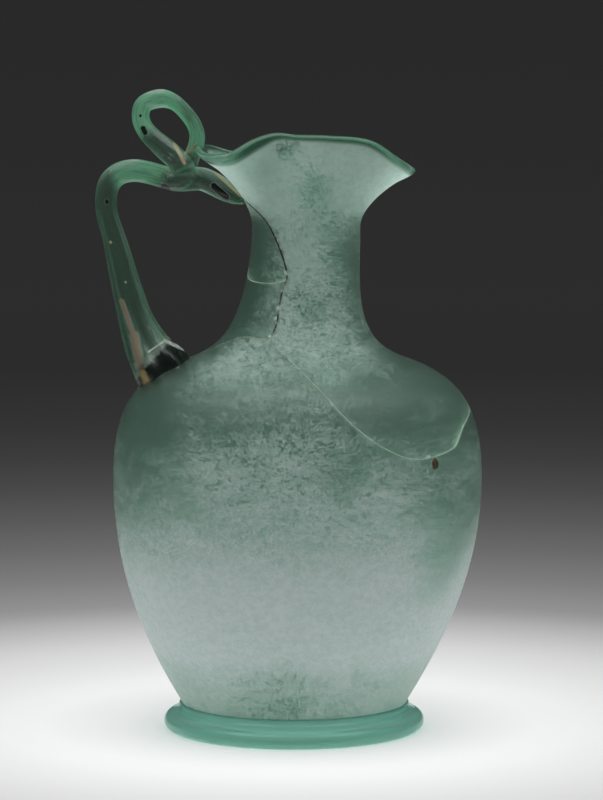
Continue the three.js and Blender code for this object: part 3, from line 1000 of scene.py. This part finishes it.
# Marks in the handle's glass, as runs from [x, z] to [x, z] with a radius, all in mm
handleMarks = {
    # Painted light: more scattered glow where the loop and the bend look lit
    "bright": [
        [-58, 228, -57, 234, 5],
        [-57, 234, -50, 238, 5],
        [-50, 238, -41, 224, 5],
        [-41, 226, -37, 221, 5],
        [-64, 208, -54, 210, 5],
    ],
    "stain": [[-65.4, 161.5, -60.7, 148.6, 1.2], [-60.7, 148.6, -58.4, 137, 2.2]],
    "soot": [
        [-50.5, 131, -43, 139, 9],
        [-31, 204.5, -26.5, 200.5, 1.3],
        [-57.2, 225.8, -56.4, 224.2, 0.9],
        [-58.2, 230.6, -58.2, 230.4, 0.4],
        [-49.6, 204.4, -48.2, 203.6, 1.0],
        [-70.8, 198.7, -70.8, 198.5, 0.8],
    ],
    # Painted highlights: pale lines for the lamp's gleam on the claw's ridge, along the loop's top, the
    # hole's top, and over and under the bend
    "highlightAndSeed": [
        [-55.3, 143.1, -49.7, 146.9, 0.5],
        [-49.7, 146.9, -40.3, 142.3, 0.7],
        [-51.6, 127.1, -39.6, 139.9, 0.4],
        [-51.8, 162, -47.5, 149, 0.35],
        [-57, 239.4, -50, 239.7, 1.2],
        [-55.7, 234.4, -48.8, 233.8, 1.0],
        [-67, 214.4, -58.5, 214.7, 1.1],
        [-65, 206.1, -56.5, 206.5, 0.9],
    ],
    "crust": [
        [-45.6, 220.2, -41.8, 213.1, 0.7],
        [-41.4, 216.8, -37.3, 219.1, 0.7],
        [-57.5, 135, -55.5, 130, 1.7],
        [-31, 210, -20.4, 200.4, 0.6],
        [-69.5, 183.6, -69.4, 183.5, 0.6],
        [-64, 168.7, -63.9, 168.6, 0.5],
    ],
    "speckled": [[-57, 226, -44, 212, 4.2], [-60, 209, -50, 207, 3], [-60, 168, -54, 150, 1.6]],
}
markEdge = (0.2, 1.5)  # shares of a mark's radius between which it fades out
markNear = (3.0, -0.5)  # places along Y between which the marks come on, towards the near side


def markHandle(piece, lines):
    places = np.array([tuple(vertex.co) for vertex in piece.data.vertices]) / metre
    places[:, 0] -= frameShift / metre
    seen = places[:, [0, 2]]
    near = smoothStep(*markNear, places[:, 1])
    inner, outer = markEdge
    for name, runs in handleMarks.items():
        amount = np.zeros(len(seen))
        for x, z, endX, endZ, radius in runs:
            way = np.array([endX - x, endZ - z])
            share = np.clip(((seen - [x, z]) @ way) / max(way @ way, 1e-9), 0, 1)
            distance = np.linalg.norm(seen - [x, z] - share[:, None] * way, axis=1)
            amount = np.maximum(amount, 1 - smoothStep(inner * radius, outer * radius, distance))
        giveValues(piece, name, amount * near)
    giveDrawnPlaces(piece, places, lines)


# Where each place lies along, across and in front of the rod's middle line, in metres
def giveDrawnPlaces(piece, places, lines):

    def lengthsAlong(line):
        return np.cumsum(np.linalg.norm(np.diff(line, axis=0, prepend=line[:1]), axis=1))

    middles = np.vstack(lines)
    along = np.concatenate([lengthsAlong(line) for line in lines])
    ways = np.vstack([unit(np.gradient(line, axis=0)) for line in lines])
    tree = KDTree(len(middles))
    for k, middle in enumerate(middles):
        tree.insert(middle, k)
    tree.balance()
    nearest = np.array([tree.find(place)[1] for place in places])
    offset = places - middles[nearest]
    way = ways[nearest]
    beside = np.cross(way, [0, 1, 0])
    onward = along[nearest] + (offset * way).sum(axis=1)
    drawn = np.stack([onward, offset[:, 1], (offset * beside).sum(axis=1)], axis=1)
    giveVectors(piece, "drawn", drawn * metre)


# Moves what reaches into the wall out to just clear of it
def settleOn(piece, carriers, clearance):
    underside = -0.3  # faces that look down more than this are outer faces too
    bm = bmesh.new()
    for carrier in carriers:
        bm.from_mesh(carrier.data)
    tree = BVHTree.FromBMesh(bm)
    bm.free()
    axis = Vector((frameShift, 0, 0))
    for vertex in piece.data.vertices:
        place, normal, _, _ = tree.find_nearest(vertex.co)
        fromAxis = place - axis
        fromAxis.z = 0
        outer = normal.dot(fromAxis) > 0 or normal.z < underside
        if not outer:
            continue
        if (vertex.co - place).dot(normal) < clearance * metre:
            vertex.co = place + normal * clearance * metre


handleRod = handlePiece()
print("handle made,", len(handleRod.data.polygons), "faces")

# A drop of glue that ran out of the front mend and dried on the wall

glueDrop = {
    "place": [-43.0, 105.8],  # turn and height
    "width": 3.4,
    "height": 4.2,
    "depth": 1.2,
    "steps": 18,
    "sag": 0.25,  # how much fuller it is towards its lower end
    # Uneven edge: for each number of waves round it, their share of its size and their turn
    "edgeWaves": {3: (0.06, 0.7), 5: (0.04, 0.0)},
}


def gluePieceOnWall():
    g = glueDrop
    turn, height = g["place"]
    course = float(courseAt(np.array(turn), height))
    centre = outerFace(turn, course)
    outward = outwardAt(turn, course)
    beside = unit(np.cross([0, 0, 1], outward))
    upward = np.cross(outward, beside)
    steps = g["steps"]
    vertices = [centre + outward * 0.5 * g["depth"]]
    for k in range(1, steps + 1):
        out = math.pi * k / (steps + 1)
        for s in range(2 * steps):
            angle = math.pi * s / steps
            across = 0.5 * g["width"] * math.sin(out) * math.cos(angle) * (1 - g["sag"] * math.sin(angle))
            up = 0.5 * g["height"] * math.sin(out) * math.sin(angle)
            edge = 1 + sum(size * math.sin(n * angle + lag) for n, (size, lag) in g["edgeWaves"].items())
            level = 0.5 * g["depth"] * math.cos(out)
            vertices.append(centre + (beside * across + upward * up) * edge + outward * level)
    vertices.append(centre - outward * 0.5 * g["depth"])
    polygons = [[0, 1 + s, 1 + (s + 1) % (2 * steps)] for s in range(2 * steps)]
    for k in range(steps - 1):
        for s in range(2 * steps):
            after = (s + 1) % (2 * steps)
            here = 1 + k * 2 * steps
            polygons.append([here + s, here + 2 * steps + s, here + 2 * steps + after, here + after])
    last = len(vertices) - 1
    ringStart = 1 + (steps - 1) * 2 * steps
    polygons += [[last, ringStart + (s + 1) % (2 * steps), ringStart + s] for s in range(2 * steps)]
    piece = pieceFrom("glue_drop", vertices, polygons)
    settleOn(piece, [blown["body"]], handle["clearance"])
    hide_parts("glue_drop")
    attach(piece, "root")
    return piece


gluePiece = gluePieceOnWall()
print("glue drop made")

# Materials

glassIor = 1.5


def linear(hexColour):
    channels = [int(hexColour[i:i + 2], 16) / 255 for i in (1, 3, 5)]
    return tuple(c / 12.92 if c <= 0.04045 else ((c + 0.055) / 1.055) ** 2.4 for c in channels) + (1.0,)


# Adds a node with its settings; its inputs, by number or by name, are plain values or links
def addNode(tree, kind, inputs=(), output=0, **settings):
    node = tree.nodes.new("ShaderNode" + kind)
    for name, value in settings.items():
        setattr(node, name, value)
    for name, value in inputs.items() if isinstance(inputs, dict) else enumerate(inputs):
        if isinstance(value, bpy.types.NodeSocket):
            tree.links.new(value, node.inputs[name])
        else:
            node.inputs[name].default_value = value
    return node.outputs[output] if node.outputs else None


def newMaterial(name):
    material = bpy.data.materials.new(name)
    material.use_nodes = True
    material.node_tree.nodes.clear()
    return material, material.node_tree


# Scales for a place in metres that make a lump or cell as large as these sizes in mm
def scalesFor(sizes):
    return tuple(1 / (size * metre) for size in sizes)


# Noise with lumps of these sizes along the three directions of a place
def noisePattern(tree, place, sizes, detail, warp):
    scaled = addNode(tree, "VectorMath", (place, scalesFor(sizes)), operation="MULTIPLY")
    return addNode(tree, "TexNoise", {
        "Vector": scaled, "Scale": 1.0, "Detail": detail, "Roughness": 0.6, "Distortion": warp})


# Lets the lamps through the glass and tints it through its thickness
def finishGlass(tree, skin, look):
    lamps = addNode(tree, "BsdfTransparent", {"Color": linear(look["lampTint"])})
    isLamp = addNode(tree, "LightPath", (), "Is Shadow Ray")
    surface = addNode(tree, "MixShader", (isLamp, skin, lamps))
    density = 1 / (look["tintDepth"] * metre)
    tint = addNode(tree, "VolumeAbsorption", {"Color": linear(look["tint"]), "Density": density})
    addNode(tree, "OutputMaterial", {"Surface": surface, "Volume": tint})


weathered = {
    "clean": "#c6e2d6",
    "film": "#f7f9fb",
    "filmAbove": "#e9f9f3",  # greener on the neck and the flare
    "neckFrom": (0.13, 0.175),  # metres up, where the greener film begins and is full
    "deep": "#6fae94",  # the thick base
    "rim": "#8dbfa6",  # the bare, thick edge of the lip
    # sizes in mm, detail, warp, and the share each takes in the film
    "cloud": ((26.0, 26.0, 15.0), 2.5, 0.6, 0.9),
    "smear": ((26.0, 26.0, 3.2), 2.0, 0.4, 0.6),
    "curd": ((2.2, 2.2, 1.8), 3.0, 0.6, 0.5),
    "felt": ((3.0, 3.0, 2.4), 3.0, 1.8, 0.9),  # fine threads of film; the real ones are finer
    "feltWidth": 0.14,  # how far from the noise's middle a thread ends
    "filmEnds": (-0.4, 1.2),  # amounts that give bare glass and the thickest film
    "curdEnds": (0.38, 0.6),
    "curdShade": (0.92, 1.0),  # the film between its curds and on them
    "wander": 0.7,  # how far the curds push the edges of mends and chips
    "mendEnds": (1.0, 0.6),
    "shadeEnds": (0.2, 0.7),  # darkness that gives pale and dark glue
    "chipEnds": (0.35, 0.6),
    "markDull": 0.55,  # clearness lost in glue and chips
    "clear": (0.98, 0.4),  # from clean glass to the thickest film
    "translucent": (0.01, 0.6),
    "paintedGlowShare": 0.7,  # more of it where the glow and the highlight under the rim are painted
    "rough": (0.285, 0.46),
    "bump": (0.12, 0.0002),  # strength, and height in metres
    "gloss": "#5c5c5c",  # the etched skin reflects less than fresh glass
    "rimRough": 0.2,
    "rimClear": 0.95,
    "tint": "#86c9b2",
    "tintDepth": 24.0,  # mm of glass that give that tint
    "lampTint": "#ece8e9",  # what each face leaves of a lamp's light
    "paleGlue": "#b9d2bd",
    "darkGlue": "#2b3120",
    "chip": "#b8d2bf",
}


def weatheredGlass():
    # Blue-green blown glass, its skin etched to a milky film in damp soil:
    # soft light comes through it, and what is behind shows only as light and dark
    w = weathered
    material, tree = newMaterial("weathered_blown_glass")
    place = addNode(tree, "Attribute", (), "Vector", attribute_name="spot")
    painted = {}
    for name in ("film", "rim", "deep", "thin", "chip", "mend", "mendShade"):
        painted[name] = addNode(tree, "Attribute", (), "Fac", attribute_name=name)
    film = painted["film"]
    middle = 0.0
    patterns = {}
    for name in ("cloud", "smear", "curd", "felt"):
        sizes, detail, warp, share = w[name]
        layer = noisePattern(tree, place, sizes, detail, warp)
        if name == "felt":
            layer = addNode(tree, "Math", (layer, 0.5), operation="SUBTRACT")
            layer = addNode(tree, "Math", (layer,), operation="ABSOLUTE")
            layer = addNode(tree, "MapRange", (layer, w["feltWidth"], 0.0))
        film = addNode(tree, "Math", (layer, share, film), operation="MULTIPLY_ADD")
        middle += 0.5 * share
        patterns[name] = layer
    curd = patterns["curd"]
    thinnest, thickest = w["filmEnds"]
    ends = (thinnest + middle, thickest + middle)
    film = addNode(tree, "MapRange", (film, *ends), interpolation_type="SMOOTHSTEP")
    bare = addNode(tree, "MapRange", (painted["rim"], 0.0, 1.0, 1.0, 0.0))
    film = addNode(tree, "Math", (film, bare), operation="MULTIPLY")
    height = addNode(tree, "SeparateXYZ", (place,), "Z")
    above = addNode(tree, "MapRange", (height, *w["neckFrom"]))
    hues = {0: above, 6: linear(w["film"]), 7: linear(w["filmAbove"])}
    milk = addNode(tree, "Mix", hues, 2, data_type="RGBA")
    shade = addNode(tree, "MapRange", (curd, *w["curdEnds"], *w["curdShade"]))
    milk = addNode(tree, "VectorMath", {0: milk, "Scale": shade}, operation="SCALE")

    # The edges of mends and chips wander with the curds
    wander = addNode(tree, "MapRange", (curd, 0.0, 1.0, -w["wander"], w["wander"]))
    marks = {}
    for name, ends in {"mend": "mendEnds", "mendShade": "shadeEnds", "chip": "chipEnds"}.items():
        edge = addNode(tree, "Math", (painted[name], wander), operation="ADD")
        marks[name] = addNode(tree, "MapRange", (edge, *w[ends]))
    glues = {0: marks["mendShade"], 6: linear(w["paleGlue"]), 7: linear(w["darkGlue"])}
    glue = addNode(tree, "Mix", glues, 2, data_type="RGBA")
    colour = linear(w["clean"])
    for share, other in (
        (film, milk),
        (painted["deep"], linear(w["deep"])),
        (painted["rim"], linear(w["rim"])),
        (marks["mend"], glue),
        (marks["chip"], linear(w["chip"])),
    ):
        colour = addNode(tree, "Mix", {0: share, 6: colour, 7: other}, 2, data_type="RGBA")

    marked = addNode(tree, "Math", (marks["mend"], marks["chip"]), operation="MAXIMUM")
    clear = addNode(tree, "MapRange", (film, 0.0, 1.0, *w["clear"]))
    clear = addNode(tree, "Math", (marked, -w["markDull"], clear), operation="MULTIPLY_ADD", use_clamp=True)
    strength, depth = w["bump"]
    bump = addNode(tree, "Bump", {"Strength": strength, "Distance": depth, "Height": curd})
    rough = addNode(tree, "MapRange", (film, 0.0, 1.0, *w["rough"]))
    glass = addNode(tree, "BsdfPrincipled", {
        "Base Color": colour, "IOR": glassIor, "Transmission Weight": clear, "Normal": bump,
        "Roughness": rough, "Specular Tint": linear(w["gloss"])})
    glow = addNode(tree, "BsdfTranslucent", {"Color": colour, "Normal": bump})
    through = addNode(tree, "MapRange", (film, 0.0, 1.0, *w["translucent"]))
    # The painted glow and the painted highlight under the rim raise the translucent share
    thin = (painted["thin"], w["paintedGlowShare"], through)
    through = addNode(tree, "Math", thin, operation="MULTIPLY_ADD", use_clamp=True)
    skin = addNode(tree, "MixShader", (through, glass, glow))
    polished = addNode(tree, "BsdfPrincipled", {
        "Base Color": linear(w["rim"]), "IOR": glassIor, "Transmission Weight": w["rimClear"],
        "Roughness": w["rimRough"]})
    skin = addNode(tree, "MixShader", (painted["rim"], skin, polished))
    finishGlass(tree, skin, w)
    return material


footGlass = {
    "colour": "#dbf6f0",
    "glow": "#c4f4ea",
    "glowShare": 0.42,
    "joint": "#1d3d36",  # a darker line where the ring meets the wall
    "ripple": ((5.0, 5.0, 5.0), 2.0, 0.0),  # sizes in mm, detail, warp
    "rippleEnds": (0.35, 0.7),
    "rough": (0.04, 0.14),
    "clear": 0.95,
    "bump": (0.3, 0.0003),
    "tint": "#86ccc2",
    "tintDepth": 60.0,
    "lampTint": "#f4f8f6",
}


def trailedGlass():
    # A thick trail of clear teal glass, wound on hot and fire-polished: glossy, with light
    # gathered in its edges
    f = footGlass
    material, tree = newMaterial("fire_polished_foot_glass")
    place = addNode(tree, "TexCoord", (), "Object")
    ripple = noisePattern(tree, place, *f["ripple"])
    strength, depth = f["bump"]
    bump = addNode(tree, "Bump", {"Strength": strength, "Distance": depth, "Height": ripple})
    joint = addNode(tree, "Attribute", (), "Fac", attribute_name="joint")
    colours = {0: joint, 6: linear(f["colour"]), 7: linear(f["joint"])}
    colour = addNode(tree, "Mix", colours, 2, data_type="RGBA")
    rough = addNode(tree, "MapRange", (ripple, *f["rippleEnds"], *f["rough"]))
    glass = addNode(tree, "BsdfPrincipled", {
        "Base Color": colour, "IOR": glassIor, "Transmission Weight": f["clear"], "Normal": bump,
        "Roughness": rough})
    glow = addNode(tree, "BsdfTranslucent", {"Color": linear(f["glow"]), "Normal": bump})
    skin = addNode(tree, "MixShader", (f["glowShare"], glass, glow))
    finishGlass(tree, skin, f)
    return material


handleGlass = {
    "colour": "#cfe8da",
    "glow": "#a2e6c2",
    "glowSpread": 0.25,  # of it that comes back towards the light
    "glowShare": (0.08, 0.35),  # of scattered light, seen square on and along the edges, where it is a painted sheen for the lamps' reflections
    "edgeSheenBlend": 0.3,
    "edgeSheenEnds": (0.1, 0.8),
    "brightShare": 0.9,  # more glow in the loop and the bend, painted light where they look lit
    "streak": ((9.0, 0.9, 0.9), 3.0, 0.0),  # mm along and across the rod, detail, warp
    "streakEnds": (0.3, 0.7),
    "streakShade": (0.5, 1.5),
    "patch": ((1.8, 1.8, 1.8), 3.0, 0.6),
    "uneven": (0.3, 1.3),  # how streaks and patches thin or thicken a mark
    "markEnds": {"stain": (0.15, 1.1), "soot": (0.05, 0.35), "crust": (0.15, 0.9), "highlightAndSeed": (0.25, 1.1)},
    "stain": "#9a5a1c",
    "soot": "#18201c",
    "crust": "#b79c58",
    "highlightAndSeed": "#e4ece6",  # painted highlights on the claw's ridge, the loop's top and the bend, and the pale seeds
    "sootGlow": 0.2,  # what soot leaves of the scattered light
    "seed": (3.5, 1.2, 1.2),  # mm along and across a seed
    "seedEnds": (0.4, 0.15),
    "seedShare": 0.22,
    "rough": (0.06, 0.25),  # of clean glass and of a full mark
    "clear": (0.97, 0.3),
    "bump": (0.25, 0.0003),
    "tint": "#3f9068",
    "tintDepth": 11.0,
    "lampTint": "#dcebe2",
}


def drawnGlass():
    # Deep green glass drawn out while hot: glossy and clear, darkest in its core and paler at its edges,
    # with a painted sheen of glow along its edges and pale painted highlights on its ridges and bends,
    # streaked and seeded along the rod, with dirt burnt in where it was joined
    g = handleGlass
    material, tree = newMaterial("drawn_handle_glass")
    drawn = addNode(tree, "Attribute", (), "Vector", attribute_name="drawn")
    place = addNode(tree, "TexCoord", (), "Object")
    painted = {}
    for name in handleMarks:
        painted[name] = addNode(tree, "Attribute", (), "Fac", attribute_name=name)
    streak = noisePattern(tree, drawn, *g["streak"])
    patchy = noisePattern(tree, place, *g["patch"])
    masks = {}
    for name, ends in g["markEnds"].items():
        pattern = streak if name == "stain" else patchy
        uneven = addNode(tree, "MapRange", (pattern, 0.0, 1.0, *g["uneven"]))
        mask = addNode(tree, "Math", (painted[name], uneven), operation="MULTIPLY")
        masks[name] = addNode(tree, "MapRange", (mask, *ends))
    seedPlace = addNode(tree, "VectorMath", (drawn, scalesFor(g["seed"])), operation="MULTIPLY")
    cells = addNode(tree, "TexVoronoi", {"Scale": 1.0, "Vector": seedPlace}, "Distance")
    seeds = addNode(tree, "MapRange", (cells, *g["seedEnds"], 0.0, g["seedShare"]))
    seeds = addNode(tree, "Math", (painted["speckled"], seeds), operation="MULTIPLY")
    # The pale seeds share their colour with the painted highlights
    masks["highlightAndSeed"] = addNode(tree, "Math", (masks["highlightAndSeed"], seeds), operation="MAXIMUM")
    colour = linear(g["colour"])
    glowColour = linear(g["glow"])
    marked = 0.0
    for name, mask in masks.items():
        mark = linear(g[name])
        colour = addNode(tree, "Mix", {0: mask, 6: colour, 7: mark}, 2, data_type="RGBA")
        glowColour = addNode(tree, "Mix", {0: mask, 6: glowColour, 7: mark}, 2, data_type="RGBA")
        marked = addNode(tree, "Math", (marked, mask), operation="MAXIMUM")
    rough = addNode(tree, "MapRange", (marked, 0.0, 1.0, *g["rough"]))
    clear = addNode(tree, "MapRange", (marked, 0.0, 1.0, *g["clear"]))
    strength, depth = g["bump"]
    bump = addNode(tree, "Bump", {"Strength": strength, "Distance": depth, "Height": streak})
    glass = addNode(tree, "BsdfPrincipled", {
        "Base Color": colour, "IOR": glassIor, "Transmission Weight": clear, "Roughness": rough,
        "Normal": bump})
    onward = addNode(tree, "BsdfTranslucent", {"Color": glowColour, "Normal": bump})
    back = addNode(tree, "BsdfDiffuse", {"Color": glowColour, "Normal": bump})
    glow = addNode(tree, "MixShader", (g["glowSpread"], onward, back))
    # Painted sheen: more glow towards the rod's edges, set by how far each face turns from the camera,
    # stands in for the lamps' reflections along them
    edge = addNode(tree, "LayerWeight", {"Blend": g["edgeSheenBlend"], "Normal": bump}, "Facing")
    share = addNode(tree, "MapRange", (edge, *g["edgeSheenEnds"], *g["glowShare"]))
    share = addNode(tree, "Math", (painted["bright"], g["brightShare"], share), operation="MULTIPLY_ADD")
    streaky = addNode(tree, "MapRange", (streak, *g["streakEnds"], *g["streakShade"]))
    share = addNode(tree, "Math", (share, streaky), operation="MULTIPLY")
    sooty = addNode(tree, "MapRange", (masks["soot"], 0.0, 1.0, 1.0, g["sootGlow"]))
    share = addNode(tree, "Math", (share, sooty), operation="MULTIPLY")
    skin = addNode(tree, "MixShader", (share, glass, glow))
    finishGlass(tree, skin, g)
    return material


driedGlue = {
    "thin": "#554530",
    "thick": "#291f15",
    "wrinkle": ((0.7, 0.7, 0.7), 3.0, 1.0),  # mm between its drying wrinkles, detail, warp
    "wrinkleEnds": (0.35, 0.65),
    "rough": 0.35,
    "bump": (0.5, 0.0002),
}


def driedHideGlue():
    # Hide glue that ran from the mend and dried: brown, half glossy, wrinkled
    d = driedGlue
    material, tree = newMaterial("dried_hide_glue")
    place = addNode(tree, "TexCoord", (), "Object")
    wrinkle = noisePattern(tree, place, *d["wrinkle"])
    thin = addNode(tree, "MapRange", (wrinkle, *d["wrinkleEnds"]))
    browns = {0: thin, 6: linear(d["thick"]), 7: linear(d["thin"])}
    colour = addNode(tree, "Mix", browns, 2, data_type="RGBA")
    strength, depth = d["bump"]
    bump = addNode(tree, "Bump", {"Strength": strength, "Distance": depth, "Height": wrinkle})
    glue = addNode(tree, "BsdfPrincipled", {
        "Base Color": colour, "IOR": glassIor, "Roughness": d["rough"], "Normal": bump})
    addNode(tree, "OutputMaterial", {"Surface": glue})
    return material


bodyGlass = weatheredGlass()
for piece in blown.values():
    piece.data.materials.append(bodyGlass)
ring.data.materials.append(trailedGlass())
handleRod.data.materials.clear()
handleRod.data.materials.append(drawnGlass())
gluePiece.data.materials.append(driedHideGlue())
print("materials made")

# Floor, backdrop and light

studio = {
    "distance": "#303231",
    "fill": 0.64,  # soft light from all round
    "floorSize": 30.0,
    "floorReach": 4.0,  # metres from the jug at which the floor's painted falloff of light ends
    "floorRough": 0.9,
    "floorGloss": 0.1,
    "floorLightFalloff": [  # painted pool of light: metres from the jug, and the floor's shade there
        (0.10, "#f0f0f0"),
        (0.112, "#e9e9e9"),
        (0.127, "#e1e1e1"),
        (0.155, "#d5d5d5"),
        (0.183, "#cbcbcb"),
        (0.217, "#bababa"),
        (0.29, "#8c8c8c"),
        (0.377, "#777777"),
        (0.472, "#666666"),
        (0.578, "#575757"),
        (0.696, "#494949"),
        (0.83, "#3e3e3e"),
        (1.0, "#363636"),
        (1.35, "#303030"),
        (1.92, "#353535"),
        (2.9, "#383838"),
    ],
    "floorCentre": (0.0, 0.01, 0.0),
    "softboxSize": (3.0, 1.5),
    "softboxPlace": (0.0, -0.35, 1.6),
    "softboxAim": (0.0, 0.0, 0.1),
    "softboxPower": 25.0,
}


def studioFloor():
    mesh = bpy.data.meshes.new("floor")
    size = studio["floorSize"]
    corners = [(-size, -size, 0), (size, -size, 0), (size, size, 0), (-size, size, 0)]
    mesh.from_pydata(corners, [], [(0, 1, 2, 3)])
    floor = bpy.data.objects.new("floor", mesh)
    floor.location = studio["floorCentre"]
    bpy.context.scene.collection.objects.link(floor)
    material, tree = newMaterial("studio_floor_painted_light_pool")
    place = addNode(tree, "TexCoord", (), "Object")
    distance = addNode(tree, "VectorMath", (place,), "Value", operation="LENGTH")
    share = addNode(tree, "Math", (distance, studio["floorReach"]), operation="DIVIDE")
    # Painted pool of light: the floor's colour falls from pale near the jug to dark far off, as the lamp's
    # light would
    shade = addNode(tree, "ValToRGB", (share,))
    stops = shade.node.color_ramp.elements
    paintedFalloff = studio["floorLightFalloff"]
    while len(stops) < len(paintedFalloff):
        stops.new(0.5)
    for stop, (reach, colour) in zip(stops, paintedFalloff):
        stop.position = reach / studio["floorReach"]
        stop.color = linear(colour)
    paint = addNode(tree, "BsdfPrincipled", {
        "Base Color": shade, "Roughness": studio["floorRough"], "Specular IOR Level": studio["floorGloss"]})
    addNode(tree, "OutputMaterial", {"Surface": paint})
    mesh.materials.append(material)


def overheadSoftbox():
    lamp = bpy.data.lights.new("overhead_softbox", "AREA")
    lamp.shape = "RECTANGLE"
    lamp.size, lamp.size_y = studio["softboxSize"]
    lamp.energy = studio["softboxPower"]
    box = bpy.data.objects.new("overhead_softbox", lamp)
    box.location = studio["softboxPlace"]
    way = Vector(studio["softboxAim"]) - Vector(studio["softboxPlace"])
    box.rotation_euler = way.to_track_quat("-Z", "Y").to_euler()
    bpy.context.scene.collection.objects.link(box)


def studioWorld():
    world = bpy.data.worlds.new("studio")
    bpy.context.scene.world = world
    world.use_nodes = True
    tree = world.node_tree
    tree.nodes.clear()
    seen = 0.0
    for ray in ("Is Camera Ray", "Is Transmission Ray", "Is Glossy Ray"):
        ofKind = addNode(tree, "LightPath", (), ray)
        seen = addNode(tree, "Math", (seen, ofKind), operation="MAXIMUM")
    fill = (studio["fill"],) * 3 + (1.0,)
    distance = linear(studio["distance"])
    colour = addNode(tree, "Mix", {0: seen, 6: fill, 7: distance}, 2, data_type="RGBA")
    back = addNode(tree, "Background", {"Color": colour})
    addNode(tree, "OutputWorld", {"Surface": back})


studioFloor()
overheadSoftbox()
studioWorld()

# Camera: at the photograph's place, 1.6 m in front and a little above

view = {
    "aside": 0.0015,  # metres towards the spout
    "before": 1.6,
    "height": 0.2965,
    "tilt": 6.151,  # degrees below level
    "sensorHeight": 36.0,
    "lens": 193.5,
}
camera = bpy.data.cameras.new("camera")
camera.sensor_fit = "VERTICAL"
camera.sensor_height = view["sensorHeight"]
camera.lens = view["lens"]
cameraObject = bpy.data.objects.new("camera", camera)
cameraObject.location = (view["aside"] + frameShift, -view["before"], view["height"])
cameraObject.rotation_euler = (math.radians(90 - view["tilt"]), 0, 0)
bpy.context.scene.collection.objects.link(cameraObject)
bpy.context.scene.camera = cameraObject
bpy.context.scene.view_settings.view_transform = "Standard"
